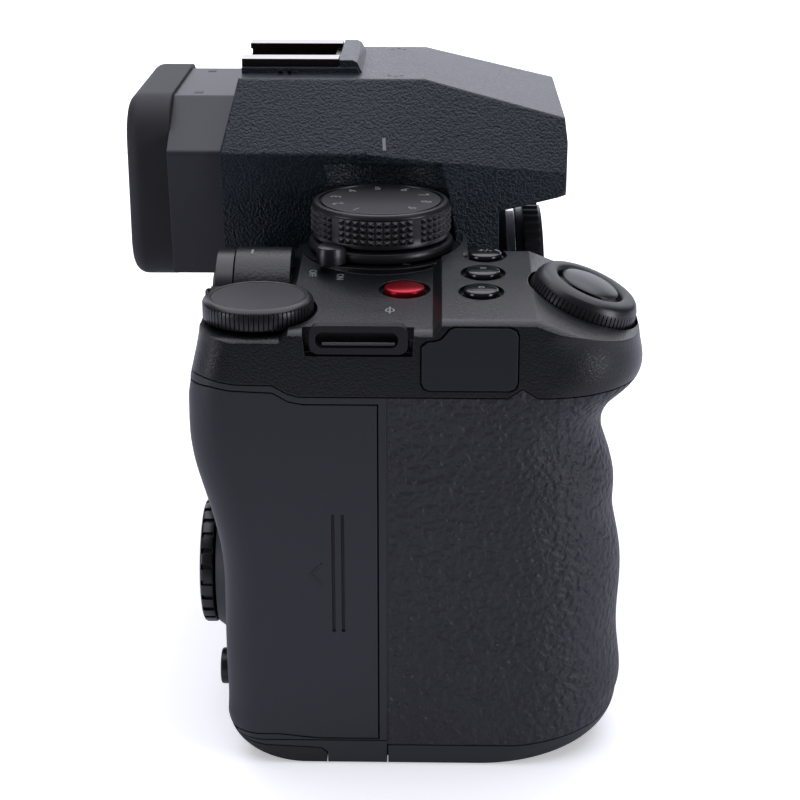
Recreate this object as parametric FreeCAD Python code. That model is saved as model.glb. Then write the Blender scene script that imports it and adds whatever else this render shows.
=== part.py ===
import FreeCAD, Part
import math
import os

# Mirrorless camera with a deep hand grip, millimetres.
# +X runs from the grip towards the socket side, -Y is the lens side, +Z is up.
# The origin is the mouth of the tripod socket, below the optical axis.
# Heights below are measured from a datum, and save() lifts everything so that the base plane is zero.

# Body envelope
datum_lift = 1.4
base_low_z = -datum_lift
grip_x = -73.5
side_x = 60.8
front_y = -16.5
rear_y = 25.2
deck_z = 72.0
wall = 2.2
block_start_x = -43.5
side_corner = 7.0
bottom_round = 5.0
deck_round = 2.4
deck_thickness = 2.0

# Hand grip, as sections from the base upwards
grip_nose = 16.0
grip_nose_flat = 3.0
grip_inner_nose = 12.0
grip_rear_corner = 6.0
grip_root_x = -34.0
grip_root_front_y = -12.0
grip_root_rear_y = 22.0
thumb_edge_x = -37.0
base_round = 8.0
base_round_side = 1.2
base_front_y = -37.5
base_rear_y = 26.8
grip_stations = [
    (14.0, -37.6, 26.7),
    (24.0, -37.3, 26.7),
    (34.0, -36.8, 26.9),
    (43.0, -35.8, 28.7),
    (50.0, -34.2, 30.6),
    (54.0, -33.4, 31.2),
    (57.5, -34.6, 31.3),
    (61.5, -38.6, 31.2),
    (66.0, -39.4, 30.4),
    (71.0, -39.2, 29.3),
    (82.0, -38.7, 28.0),
]

# Shoulder on the grip side
shoulder_slope = 0.08
rear_shoulder_z = 71.4
lug_shoulder_z = 72.6
front_shoulder_z = 74.3
shoulder_edge = 1.2
rear_shoulder_y = 16.7
front_shoulder_y = -6.4
nose_shoulder_y = -22.0
shoulder_ramp = 1.4

# Seams between the covers
top_seam_z = 62.2
front_seam_y = 0.6
base_seam_z = 2.5
seam_width = 0.22
seam_front_step = 1.5
skin_depth = 1.0
skin_rear_gap = 0.25
skin_front_corner_z = 4.6
body_skin_start_x = 34.0
grip_skin_end_x = -33.5

# Viewfinder housing
hump_base_half = 24.0
hump_skirt_half = 32.0
hump_crease_half = 27.0
hump_top_half = 17.0
hump_front_top_half = 20.0
hump_crease_z = 89.2
hump_front_crease_z = 85.8
hump_top_z = 100.3
hump_front_top_z = 93.9
hump_rear_y = 30.1
hump_top_rear_y = 27.6
hump_skirt_y = 5.0
hump_break_y = -4.7
hump_front_y = -28.9
hump_lip_y = -30.2
hump_lip_z = 82.7
hump_throat_z = 80.0
hump_side_sweep = 1.3
hump_neck_y = -17.5
hump_wall = 2.2
hump_ridge_z = 102.5
hump_ridge_y = 5.6
cheek_half = 12.2
cheek_z = 101.3

# Eyepiece
eyepiece_rear_y = 39.3
eyepiece_base_z = 67.0
eyepiece_base_half = 22.5
eyepiece_crease_half = 25.5
eyepiece_top_half = 13.5
eyepiece_top_z = 96.7
eyepiece_axis_z = 82.0
eyecup_rear_y = 47.0
eyecup_half = 21.5
eyecup_low_z = 64.8
eyecup_high_z = 97.3
eyecup_corner = 7.5
eyecup_round = 2.4
window_half = 14.0
window_height = 19.0
finder_lens_radius = 9.0
finder_lens_thickness = 3.2

# Accessory shoe
shoe_half = 10.5
shoe_front_y = 10.5
shoe_rear_y = 27.5
shoe_floor_z = 98.4
shoe_plate = 0.9
shoe_top_z = 102.6
shoe_lip = 1.0
shoe_slot_half = 6.3

# Lens mount
mount_z = 42.0
throat_radius = 25.8
mount_ring_radius = 30.8
mount_face_y = -21.2
mount_ring_depth = 3.2
mount_ring_sunk = 1.5
mount_claw_depth = 1.5
mount_groove_radius = 28.4
mount_notch_angle = 26.0
mount_claws = 3
boss_radius = 33.0
tunnel_radius = 27.0
sensor_y = -1.2
sensor_width = 36.0
sensor_height = 24.0
lens_button_radius = 5.0
lens_button_angle = -35.0
lock_radius = 0.9
lock_pin_angle = -20.0

# Body cap
cap_radius = 31.9
cap_thickness = 4.7
cap_gap = 0.25
cap_skirt = 3.1
cap_wall = 2.0
cap_lug_angle = 20.0
cap_ribs = 72
cap_rib_start = 1.3

# Mode dial and power lever
mode_x = -36.0
mode_y = 2.35
mode_radius = 11.8
mode_high_z = 83.3
mode_top_z = 83.8
mode_face_radius = 10.9
mode_teeth = 48
mode_seat_z = 75.5
mode_seat_radius = 13.2
mode_recess_radius = 13.6
mode_recess_z = 87.6
lever_radius = 12.3
lever_thickness = 1.8
lever_tab_reach = 15.6
lever_tab_angle = 143.0

# Rear dial
rear_dial_x = -64.0
rear_dial_y = 20.5
rear_dial_radius = 8.6
rear_dial_low_z = 72.1
rear_dial_top_z = 75.6
rear_dial_teeth = 56

# Shutter button and front dial
release_x = -56.0
release_y = -31.2
release_z = 75.4
release_tilt = 21.0
release_lean = 5.0
front_dial_radius = 8.9
front_dial_rim = 8.2
front_dial_bore = 5.25
front_dial_height = 4.6
front_dial_teeth = 48
release_radius = 4.75
release_travel = 1.2

# Left shoulder dial
drive_x = 42.0
drive_y = 4.0
drive_radius = 11.0
drive_height = 7.0
drive_teeth = 44

# Top buttons
top_button_pitch = 8.2
top_button_first_x = -44.3
top_button_y = -14.8
top_button_row_turn = 0.45
top_button_radius = 2.75
top_button_proud = 0.75
top_button_count = 3
record_x = -55.4
record_y = -1.9
record_radius = 3.25
record_proud = 0.75
well_depth = 0.7
well_margin = 0.8

# Rear controls
panel_y = 27.4
wheel_x = -48.6
wheel_z = 23.7
wheel_radius = 10.5
wheel_bore = 5.6
wheel_front_y = 29.6
wheel_rear_y = 32.0
wheel_teeth = 24
wheel_boss_radius = 12.4
set_radius = 4.7
rear_button_radius = 3.0
rear_button_rear_y = 28.6
back_button_x = -59.5
back_button_z = 9.2
play_button_x = -56.5
play_button_z = 41.5
quick_button_x = -41.0
quick_button_z = 43.0
focus_x = -44.0
focus_z = 69.0
focus_radius = 8.0
focus_face_y = 25.9
focus_thickness = 2.8
focus_button_radius = 5.0
focus_fin = 1.6
stick_x = -34.6
stick_z = 55.2
stick_well_radius = 5.6
stick_radius = 3.6
stick_rear_y = 30.2
stick_depth = 8.4
stick_ball = 2.9

# Monitor
monitor_left_x = -27.0
monitor_right_x = 49.0
monitor_low_z = 6.0
monitor_high_z = 60.5
monitor_front_y = 22.0
monitor_rear_y = 28.2
monitor_floor_y = 20.6
monitor_gap = 0.35
monitor_corner = 2.5
screen_border = 4.0
screen_depth = 0.8
hinge_x = 57.0
hinge_y = 24.6
hinge_radius = 2.9
hinge_pin_radius = 1.2
hinge_lug_height = 5.0

# Card door on the grip side
door_front_y = 2.0
door_low_z = 3.7
door_high_z = 61.0
door_gap = 0.25
door_pivot_x = -69.3
door_pivot_y = 22.0
door_lip_x = -68.3
door_tail_rise = 2.6
sweep_allowance = 0.05
door_knuckle_radius = 1.3
door_pin_radius = 0.7
door_knuckle_height = 7.0
groove_low_z = 22.8
groove_high_z = 43.0
groove_y = (8.9, 7.4)
groove_width = 0.5
groove_depth = 0.45

# Small covers
cover_depth = 1.6
remote_rear_y = -4.8
remote_front_y = -19.2
remote_low_z = 63.6
remote_high_z = 73.4
remote_proud = 0.3
remote_corner = 1.2
coupler_front_y = 10.4
grip_rear_end = 27.5
coupler_inner_x = -61.0
port_rear_y = 17.0
port_front_y = 2.8
upper_port_low_z = 37.0
upper_port_high_z = 58.0
lower_port_low_z = 10.0
lower_port_high_z = 34.0

# Strap lugs
lug_rear_y = 12.1
lug_front_y = -2.7
lug_z = 71.35
lug_height = 4.5
lug_slot_height = 2.5
lug_thickness = 1.5

# Base
bush_radius = 5.5
bush_depth = 6.5
socket_radius = 3.175
battery_x0 = -65.0
battery_x1 = -47.0
battery_y0 = -27.5
battery_y1 = 8.0
battery_z0 = 2.0
battery_z1 = 56.0
battery_door_margin = 1.6
battery_door_thickness = 2.2
battery_door_corner = 2.6
battery_door_low_z = base_low_z + 0.15
battery_hinge_radius = 1.1
latch_length = 9.0
latch_width = 5.0
latch_travel = 3.0
screw_head_radius = 1.6
screw_depth = 1.2

# Inside
chassis_y0 = 4.0
chassis_low_z = 8.0
chassis_high_z = 66.0
chassis_y1 = 6.2
board_y0 = 12.0
board_thickness = 1.4
stage_gap = 0.5
curtain_y = -7.0
curtain_thickness = 0.5
curtain_half = 27.5
slot_block_y0 = 12.4
slot_block_y1 = 18.6
card_width = 24.6
card_thickness = 2.3

# Clearances
fit_gap = 0.06
move_gap = 0.3
button_gap = 0.15
fuse_tolerance = 0.001

UP = FreeCAD.Vector(0, 0, 1)
REAR = FreeCAD.Vector(0, 1, 0)
FRONT = FreeCAD.Vector(0, -1, 0)
FAR = 200.0
SQUARE = math.sqrt(0.5)

os.makedirs("parts", exist_ok=True)


def at(x, y, z):
    return FreeCAD.Vector(x, y, z)


def box(x0, y0, z0, x1, y1, z1):
    return Part.makeBox(x1 - x0, y1 - y0, z1 - z0, at(x0, y0, z0))


def rod(radius, height, base, axis=UP):
    return Part.makeCylinder(radius, height, base, axis)


def tube(outer, inner, height, base, axis=UP):
    return rod(outer, height, base, axis).cut(rod(inner, height, base, axis))


def line(a, b):
    return Part.LineSegment(a, b).toShape()


def arc(a, middle, b):
    return Part.Arc(a, middle, b).toShape()


def prism(points, direction):
    closed = [at(*p) for p in points]
    closed.append(closed[0])
    return Part.Face(Part.makePolygon(closed)).extrude(direction)


def prism_x(points, x0, x1):
    return prism([(x0, y, z) for y, z in points], at(x1 - x0, 0, 0))


def prism_y(points, y0, y1):
    return prism([(x, y0, z) for x, z in points], at(0, y1 - y0, 0))


def join(shapes):
    whole = shapes[0]
    for shape in shapes[1:]:
        whole = whole.fuse(shape)
    return whole


def round_edges(shape, radius, chosen):
    edges = [e for e in shape.Edges if chosen(e)]
    return shape.makeFillet(radius, edges)


def runs_along(edge, axis):
    first = edge.Vertexes[0].Point
    last = edge.Vertexes[-1].Point
    span = last.sub(first)
    if span.Length < 1e-6:
        return False
    return abs(span.normalize().dot(axis)) > 0.999


def rounded_slab(x0, y0, z0, x1, y1, z1, radius, axis):
    slab = box(x0, y0, z0, x1, y1, z1)
    return round_edges(slab, radius, lambda e: runs_along(e, axis))


def toothed(radius, depth, teeth, height, base, axis=UP):
    points = []
    for step in range(teeth * 4):
        turn = 2 * math.pi * step / (teeth * 4)
        reach = radius if step % 4 in (0, 1) else radius - depth
        points.append(at(reach * math.cos(turn), reach * math.sin(turn), 0))
    points.append(points[0])
    body = Part.Face(Part.makePolygon(points)).extrude(at(0, 0, height))
    body.Placement = FreeCAD.Placement(base, FreeCAD.Rotation(UP, axis))
    return body


def save(name, shape):
    solids = shape.Solids
    kept = solids[0] if len(solids) == 1 else Part.makeCompound(solids)
    kept = kept.translated(at(0, 0, datum_lift))
    kept.exportStep("parts/" + name + ".step")
    volume = sum(s.Volume for s in solids)
    print(name, len(solids), "solids", round(volume, 2), "valid", kept.isValid())
    return kept


# Outer and inner volume of the grip
def grip_section(z, front, rear, inset, shrink):
    left = grip_x + inset + shrink
    low = front + shrink
    high = rear - shrink
    nose = grip_nose - shrink
    corner = grip_rear_corner - shrink
    inner = grip_inner_nose - shrink
    nose_x = left + nose
    flat_x = nose_x + grip_nose_flat
    nose_mid = at(nose_x - nose * SQUARE, low + nose - nose * SQUARE, z)
    inner_mid = at(flat_x + inner * SQUARE, low + inner - inner * SQUARE, z)
    rear_mid = at(left + corner - corner * SQUARE, high - corner + corner * SQUARE, z)
    points = [
        at(left, high - corner, z),
        at(left, low + nose, z),
        at(nose_x, low, z),
        at(flat_x, low, z),
        at(flat_x + inner, low + inner, z),
        at(flat_x + inner, grip_root_front_y, z),
        at(grip_root_x, grip_root_front_y, z),
        at(grip_root_x, grip_root_rear_y - shrink, z),
        at(thumb_edge_x - shrink, high, z),
        at(left + corner, high, z),
    ]
    edges = [
        line(points[0], points[1]),
        arc(points[1], nose_mid, points[2]),
        line(points[2], points[3]),
        arc(points[3], inner_mid, points[4]),
        line(points[4], points[5]),
        line(points[5], points[6]),
        line(points[6], points[7]),
        line(points[7], points[8]),
        line(points[8], points[9]),
        arc(points[9], rear_mid, points[0]),
    ]
    return Part.Wire(edges)


def grip_volume(shrink):
    low = []
    for share in (0.0, 0.045, 0.16, 0.375, 0.65, 1.0):
        z = base_low_z + base_round * share
        turn = 1 - math.sqrt(1 - (1 - share) ** 2)
        front = base_front_y + base_round * turn
        rear = base_rear_y - base_round * turn
        low.append(grip_section(z, front, rear, base_round_side * turn, shrink))
    high = [grip_section(base_low_z + base_round, base_front_y, base_rear_y, 0, shrink)]
    for z, front, rear in grip_stations:
        high.append(grip_section(z, front, rear, 0, shrink))
    volume = Part.makeLoft(low, True, False).fuse(Part.makeLoft(high, True, False))
    if shrink > 0:
        volume = volume.common(box(-FAR, -FAR, base_low_z + shrink, FAR, FAR, FAR))
    return volume


def shoulder_profile(height, y, drop):
    top = height - drop
    edge = shoulder_edge
    end = -20.0
    rise = shoulder_slope * (end - grip_x)
    start = at(grip_x - 0.5, y, top - edge - 1.2)
    bend = at(grip_x + 0.24 * edge, y, top - 0.32 * edge)
    flat = at(grip_x + 1.3 * edge, y, top + 1.3 * edge * shoulder_slope)
    return Part.Face(Part.Wire([
        line(at(grip_x - 0.5, y, -5.0), start),
        arc(start, bend, flat),
        line(flat, at(end, y, top + rise)),
        line(at(end, y, top + rise), at(end, y, -5.0)),
        line(at(end, y, -5.0), at(grip_x - 0.5, y, -5.0)),
    ]))


def shoulder_limit(drop):
    rear = shoulder_profile(rear_shoulder_z, rear_shoulder_y, drop)
    middle = shoulder_profile(lug_shoulder_z, front_shoulder_y, drop)
    front = shoulder_profile(front_shoulder_z, nose_shoulder_y, drop)
    nose_run = 26.0
    nose_fall = nose_run * math.tan(math.radians(release_tilt))
    rear_ramp = [
        shoulder_profile(lug_shoulder_z, rear_shoulder_y - shoulder_ramp, drop).OuterWire,
        shoulder_profile(rear_shoulder_z, rear_shoulder_y, drop).OuterWire,
    ]
    front_ramp = [
        shoulder_profile(front_shoulder_z, front_shoulder_y - shoulder_ramp, drop).OuterWire,
        shoulder_profile(lug_shoulder_z, front_shoulder_y, drop).OuterWire,
    ]
    return join([
        rear.extrude(at(0, FAR, 0)),
        Part.makeLoft(rear_ramp, True, True),
        middle.extrude(at(0, rear_shoulder_y - shoulder_ramp - front_shoulder_y, 0)),
        Part.makeLoft(front_ramp, True, True),
        front.extrude(at(0, front_shoulder_y - shoulder_ramp - nose_shoulder_y, 0)),
        front.extrude(at(0, -nose_run, -nose_fall)),
    ])


def block_volume(shrink):
    low = base_low_z + shrink
    block = box(block_start_x, front_y + shrink, low, side_x - shrink, rear_y - shrink, deck_z)
    block = round_edges(block, side_corner - shrink, lambda e: runs_along(e, UP) and e.CenterOfMass.x > 0)
    if shrink > 0:
        return block.common(box(-FAR, -FAR, low, FAR, FAR, deck_z - deck_thickness))
    block = round_edges(
        block,
        bottom_round,
        lambda e: e.CenterOfMass.z < base_low_z + 0.01 and e.CenterOfMass.x > block_start_x + 1.0,
    )
    return round_edges(
        block,
        deck_round,
        lambda e: e.CenterOfMass.z > deck_z - 0.01 and e.CenterOfMass.x > block_start_x + 1.0,
    )


grip_outer = grip_volume(0.0).common(shoulder_limit(0.0))
grip_inner = grip_volume(wall).common(shoulder_limit(deck_thickness))
outer_volume = grip_outer.fuse([block_volume(0.0)], fuse_tolerance)
inner_volume = grip_inner.fuse([block_volume(wall)], fuse_tolerance)
shell = outer_volume.cut(inner_volume)

# The lever and focus bosses stand on the shell
release_axis = FreeCAD.Rotation(REAR, -release_lean).multVec(
    at(0, -math.sin(math.radians(release_tilt)), math.cos(math.radians(release_tilt))),
)
release_top = at(release_x, release_y, release_z)
release_base = release_top - release_axis * front_dial_height
focus_centre = at(focus_x, focus_face_y, focus_z)
mode_centre = at(mode_x, mode_y, mode_seat_z)
mount_centre = at(0, front_y, mount_z)


# Viewfinder housing
def hump_section(y, base_half, crease_half, crease_z, top_half, top_z, base_z):
    return Part.makePolygon([
        at(-base_half, y, base_z),
        at(-crease_half, y, crease_z),
        at(-top_half, y, top_z),
        at(top_half, y, top_z),
        at(crease_half, y, crease_z),
        at(base_half, y, base_z),
        at(-base_half, y, base_z),
    ])


def hump_volume(shrink):
    base = hump_base_half - shrink
    skirt = hump_skirt_half - shrink
    crease = hump_crease_half - shrink
    top = hump_top_half - shrink * 0.6
    front_top = hump_front_top_half - shrink * 0.6
    ceiling = hump_top_z - shrink
    crease_z = hump_crease_z
    stations = [
        hump_section(hump_rear_y, base, crease, crease_z, top, ceiling, deck_z),
        hump_section(hump_skirt_y, base, crease, crease_z, top, ceiling, deck_z),
        hump_section(hump_break_y, skirt, crease, crease_z - 1.0, top, ceiling, deck_z),
        hump_section(
            hump_lip_y + shrink,
            skirt,
            crease - 1.0,
            hump_front_crease_z,
            front_top,
            hump_front_top_z - shrink,
            deck_z,
        ),
    ]
    volume = join([Part.makeLoft(list(pair), True, True) for pair in zip(stations, stations[1:])])
    prow = prism_x(
        [
            (hump_rear_y, deck_z - 1),
            (hump_neck_y + shrink, deck_z - 1),
            (hump_neck_y + shrink, hump_throat_z + shrink),
            (hump_lip_y + shrink, hump_lip_z + shrink),
            (hump_front_y + shrink, hump_front_top_z + 0.2),
            (hump_front_y + 1.0 + shrink, FAR),
            (hump_top_rear_y, FAR),
            (hump_top_rear_y, hump_top_z),
            (hump_rear_y, hump_crease_z),
        ],
        -FAR,
        FAR,
    )
    return volume.common(prow).common(hump_plan(shrink))


def hump_plan(shrink):
    """The housing seen from above: its front bows forward between the two sides."""
    front = hump_lip_y + shrink
    side = front + hump_side_sweep
    reach = hump_crease_half
    left = at(-reach, side, deck_z - 1)
    right = at(reach, side, deck_z - 1)
    back = hump_rear_y + 1
    outer = hump_skirt_half + 1
    neck = hump_neck_y - 1
    plan = Part.Face(Part.Wire([
        arc(left, at(0, front, deck_z - 1), right),
        line(right, at(outer, neck, deck_z - 1)),
        line(at(outer, neck, deck_z - 1), at(outer, back, deck_z - 1)),
        line(at(outer, back, deck_z - 1), at(-outer, back, deck_z - 1)),
        line(at(-outer, back, deck_z - 1), at(-outer, neck, deck_z - 1)),
        line(at(-outer, neck, deck_z - 1), left),
    ]))
    return plan.extrude(at(0, 0, FAR))


mode_recess = rod(mode_recess_radius, mode_recess_z - deck_z + 1, at(mode_x, mode_y, deck_z - 1))


def build_hump():
    outer = hump_volume(0.0)
    ridge = prism_x(
        [
            (hump_ridge_y, hump_top_z - 1.5),
            (hump_ridge_y + 1.6, hump_ridge_z - 0.4),
            (hump_ridge_y + 2.4, hump_ridge_z),
            (shoe_front_y - 0.2, hump_ridge_z),
            (shoe_front_y - 0.2, hump_top_z - 1.5),
        ],
        -shoe_half - 0.6,
        shoe_half + 0.6,
    )
    cheeks = prism_x(
        [
            (hump_ridge_y + 0.4, hump_top_z - 1.5),
            (hump_ridge_y + 1.6, cheek_z),
            (hump_top_rear_y - 0.2, cheek_z),
            (hump_top_rear_y - 0.2, hump_top_z - 1.5),
        ],
        -cheek_half,
        cheek_half,
    )
    edges = [e for e in outer.Edges if is_hump_edge(e)]
    outer = outer.makeFillet(0.8, edges).fuse(ridge).fuse(cheeks)
    hollow = hump_volume(hump_wall)
    rear_cut = box(
        -hump_crease_half + 4,
        hump_rear_y - 4,
        deck_z - 1,
        hump_crease_half - 4,
        hump_rear_y + 1,
        hump_crease_z + 3,
    )
    inner = hollow.fuse(rear_cut)
    shoe_bed = box(-shoe_half - 0.15, shoe_front_y - 0.2, shoe_floor_z, shoe_half + 0.15, FAR, FAR)
    shoe_deck = box(
        -shoe_half - 2,
        shoe_front_y - 2,
        shoe_floor_z - 2.0,
        shoe_half + 2,
        hump_rear_y,
        shoe_floor_z,
    )
    housing = outer.cut(inner).fuse(shoe_deck.common(outer)).cut(shoe_bed)
    recess_wall = rod(mode_recess_radius + 1.6, mode_recess_z - deck_z + 1.6, at(mode_x, mode_y, deck_z))
    housing = housing.fuse(recess_wall.common(outer)).cut(mode_recess)
    housing = housing.cut(rod(boss_radius + 0.1, front_y - hump_lip_y, at(0, hump_lip_y, mount_z), REAR))
    speaker = rod(0.45, 3.0, at(0, 0, hump_top_z - 2.6))
    for column in range(4):
        for row in range(2):
            hole = speaker.copy()
            hole.translate(at(-13.5 + column * 1.6, 19.0 + row * 1.6, 0))
            housing = housing.cut(hole)
            hole.translate(at(2 * 13.5 - column * 3.2, 0, 0))
            housing = housing.cut(hole)
    return housing


def is_hump_edge(edge):
    spot = edge.CenterOfMass
    along_side = abs(spot.x) > hump_top_half - 1 and spot.z > hump_front_crease_z + 3 and edge.Length > 8
    return along_side and spot.y < hump_rear_y - 1 and spot.y > hump_lip_y + 2


hump_outer = hump_volume(0.0)
save("finder_housing", build_hump())

# Shell pieces
top_zone = prism_x(
    [
        (FAR, top_seam_z + 3.0),
        (28.8, top_seam_z + 2.8),
        (23.6, top_seam_z + 1.9),
        (17.8, top_seam_z + 1.8),
        (15.6, top_seam_z + 0.5),
        (13.9, top_seam_z),
        (-17.8, top_seam_z),
        (-20.0, top_seam_z + seam_front_step),
        (-22.4, top_seam_z),
        (-FAR, top_seam_z),
        (-FAR, FAR),
        (FAR, FAR),
    ],
    -FAR,
    FAR,
)
base_zone = prism_x(
    [
        (FAR, -FAR),
        (FAR, base_seam_z + 0.8),
        (front_seam_y, base_seam_z + 0.8),
        (front_seam_y, base_seam_z),
        (-20.0, base_seam_z),
        (-33.0, skin_front_corner_z - 0.6),
        (-45.0, skin_front_corner_z + 3.0),
        (-45.0, -FAR),
    ],
    -FAR,
    FAR,
)
front_zone = box(-FAR, -FAR, -FAR, FAR, front_seam_y, FAR)


def coupler_zone(grow):
    rear = grip_rear_end + grow
    front = coupler_front_y - grow
    points = [
        (rear, 3.6 + grow),
        (24.4, 2.7 + grow),
        (20.4, 2.1 + grow),
        (12.6, 1.7 + grow),
        (front + 0.9, 1.5 + grow),
        (front, 0.7 + grow),
        (front, -FAR),
        (rear, -FAR),
    ]
    return prism_x(points, -FAR, coupler_inner_x + grow)


def door_outline(grow):
    return [
        (40.0, door_high_z + door_tail_rise + grow),
        (27.0, door_high_z + door_tail_rise + grow),
        (24.1, door_high_z + 2.1 + grow),
        (17.8, door_high_z + 1.8 + grow),
        (15.4, door_high_z + 0.4 + grow),
        (13.2, door_high_z + grow),
        (door_front_y - grow, door_high_z + grow),
        (door_front_y - grow, door_low_z - grow),
        (11.8, door_low_z - grow),
        (17.8, door_low_z + 0.7 - grow),
        (40.0, door_low_z + 0.7 - grow),
    ]


def door_zone(grow):
    side = prism_x(door_outline(grow), -FAR, door_lip_x)
    return side.common(door_sweep(grow - door_gap).fuse(box(-FAR, -FAR, 0, door_pivot_x, FAR, FAR)))


def door_sweep(grow):
    """The round space that the door's rear edge needs as it swings about its pin."""
    profile = [at(0, 0, 0)]
    rows = [(0.0, base_rear_y)] + [(z, rear) for z, front, rear in grip_stations]
    for z, rear in rows:
        reach = math.hypot(door_lip_x - door_pivot_x, rear - door_pivot_y) + sweep_allowance + grow
        profile.append(at(reach, 0, z))
    profile.append(at(0, 0, profile[-1].z))
    profile.append(profile[0])
    spool = Part.Face(Part.makePolygon(profile)).revolve(at(0, 0, 0), UP, 360)
    spool.translate(at(door_pivot_x, door_pivot_y, 0))
    return spool


def door_clearance():
    inside = box(
        grip_x + wall,
        -FAR,
        door_low_z - 0.05,
        FAR,
        FAR,
        door_high_z + door_tail_rise + door_gap,
    )
    return door_sweep(door_gap + 0.1).common(inside)


def remote_outline(grow):
    """The cover's outline with round corners and a swept step at its upper rear corner."""
    low = remote_low_z - grow
    high = remote_high_z + grow
    rear = remote_rear_y + grow
    front = remote_front_y - grow
    points = [
        (front, low + remote_corner),
        (front, high - remote_corner),
        (front + remote_corner * 0.3, high - remote_corner * 0.3),
        (front + remote_corner, high),
        (rear - 4.9, high),
        (rear - 4.2, high - 0.3),
        (rear - 3.0, high - 1.8),
        (rear - 2.2, high - 2.1),
        (rear - 0.8, high - 2.3),
        (rear, high - 3.0),
        (rear, low + remote_corner),
        (rear - remote_corner * 0.3, low + remote_corner * 0.3),
        (rear - remote_corner, low),
        (front + remote_corner, low),
        (front + remote_corner * 0.3, low + remote_corner * 0.3),
    ]
    return prism_x(points, -FAR, grip_x + cover_depth + grow)


def port_outline(low, high, grow):
    slab = box(
        side_x - cover_depth - grow,
        port_front_y - grow,
        low - grow,
        FAR,
        port_rear_y + grow,
        high + grow,
    )
    return round_edges(slab, 1.6 + grow, lambda e: runs_along(e, at(1, 0, 0)))


# Front case with the grip and the mount boss
boss_height = front_y - mount_face_y - mount_ring_depth
boss = rod(boss_radius, boss_height + mount_ring_sunk, mount_centre, FRONT)
ring_seat = rod(mount_ring_radius + fit_gap, FAR, mount_centre + FRONT * boss_height, FRONT)
boss = boss.cut(ring_seat)
tunnel = rod(tunnel_radius, FAR, at(0, -FAR * 0.5 - 5, mount_z), REAR)
skin_layer = outer_volume.cut(grip_volume(skin_depth).fuse([block_volume(skin_depth)], fuse_tolerance))
skin_outline = prism_x(
    [
        (front_seam_y - skin_rear_gap, base_seam_z),
        (-20.0, base_seam_z),
        (-33.0, skin_front_corner_z - 0.6),
        (-45.0, skin_front_corner_z + 3.0),
        (-45.0, top_seam_z),
        (-22.4, top_seam_z),
        (-20.0, top_seam_z + seam_front_step),
        (-17.8, top_seam_z),
        (front_seam_y - skin_rear_gap, top_seam_z),
    ],
    -FAR,
    FAR,
)
skin_all = skin_layer.common(skin_outline)
top_seam_groove = skin_layer.common(top_zone.cut(top_zone.translated(at(0, 0, seam_width))))
base_seam_groove = skin_layer.common(base_zone.cut(base_zone.translated(at(0, 0, -seam_width))))
side_seam_groove = skin_layer.common(box(
    -FAR,
    front_seam_y - seam_width,
    -FAR,
    coupler_inner_x,
    front_seam_y,
    base_seam_z,
))
base_seam_groove = base_seam_groove.fuse(side_seam_groove)
grip_skin = skin_all.common(box(-FAR, -FAR, -1, grip_skin_end_x, FAR, FAR))
body_skin = skin_all.common(box(body_skin_start_x, -FAR, -1, FAR, FAR, FAR))
save("grip_skin", grip_skin)

front_case = shell.common(front_zone).cut(top_zone).cut(base_zone)
front_case = front_case.cut(grip_skin).cut(body_skin).fuse(boss).cut(tunnel)
lens_button_reach = mount_ring_radius + lens_button_radius + 0.5
lens_button_turn = math.radians(lens_button_angle)
lens_button_x = lens_button_reach * math.cos(lens_button_turn)
lens_button_z = mount_z + lens_button_reach * math.sin(lens_button_turn)
release_button_centre = at(lens_button_x, front_y, lens_button_z)
pin_angle = math.radians(lock_pin_angle)
pin_reach = (mount_groove_radius + mount_ring_radius) / 2
pin_x = pin_reach * math.cos(pin_angle)
pin_z = mount_z + pin_reach * math.sin(pin_angle)
pin_hole = rod(lock_radius + fit_gap, 20.0, at(pin_x, mount_face_y + 15, pin_z), FRONT)
front_case = front_case.cut(
    rod(lens_button_radius + button_gap, 20.0, release_button_centre + at(0, 5, 0), FRONT),
)
front_case = front_case.cut(pin_hole)
body_skin = body_skin.cut(
    rod(lens_button_radius + button_gap, 20.0, release_button_centre + at(0, 5, 0), FRONT),
)
save("body_skin", body_skin)
save("front_case", front_case)

# Rear case with the monitor recess and the thumb rest
rear_case = shell.cut(front_zone).cut(top_zone).cut(base_zone)
recess_x0 = monitor_left_x - monitor_gap
recess_floor = box(
    recess_x0 - 2,
    monitor_floor_y - wall,
    4.0,
    side_x - 1.0,
    monitor_floor_y,
    monitor_high_z + 1.6,
)
rear_case = rear_case.fuse(recess_floor.common(inner_volume.fuse(shell)))
recess_low_z = monitor_low_z - monitor_gap
recess = box(recess_x0, monitor_floor_y, recess_low_z, FAR, FAR, monitor_high_z + monitor_gap)
ledge = box(
    recess_x0 - 2,
    monitor_floor_y - wall,
    recess_low_z - wall,
    side_x - 2,
    rear_y - wall,
    recess_low_z,
)
rear_case = rear_case.fuse(ledge).cut(recess)
hinge_low_z = monitor_low_z + hinge_lug_height
hinge_high_z = monitor_high_z - hinge_lug_height
for low, high in ((recess_low_z, hinge_low_z), (hinge_high_z, monitor_high_z + monitor_gap)):
    lug = rod(hinge_radius, high - low, at(hinge_x, hinge_y, low))
    foot = box(hinge_x - hinge_radius, monitor_floor_y - wall, low, hinge_x + hinge_radius, hinge_y, high)
    rear_case = rear_case.fuse(lug.fuse(foot))
rear_case = rear_case.cut(rod(
    hinge_pin_radius + fit_gap,
    FAR,
    at(hinge_x, hinge_y, hinge_low_z - 3.0),
).common(
    box(0, 0, 0, FAR, FAR, hinge_high_z + 3.0)))
panel_flat = box(door_lip_x + 1.5, panel_y, 0, thumb_edge_x + 8, FAR, wheel_z + wheel_radius + 2.6)
rear_case = rear_case.cut(panel_flat)
rear_case = rear_case.cut(door_zone(door_gap)).cut(door_clearance()).cut(coupler_zone(0.2))
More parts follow.
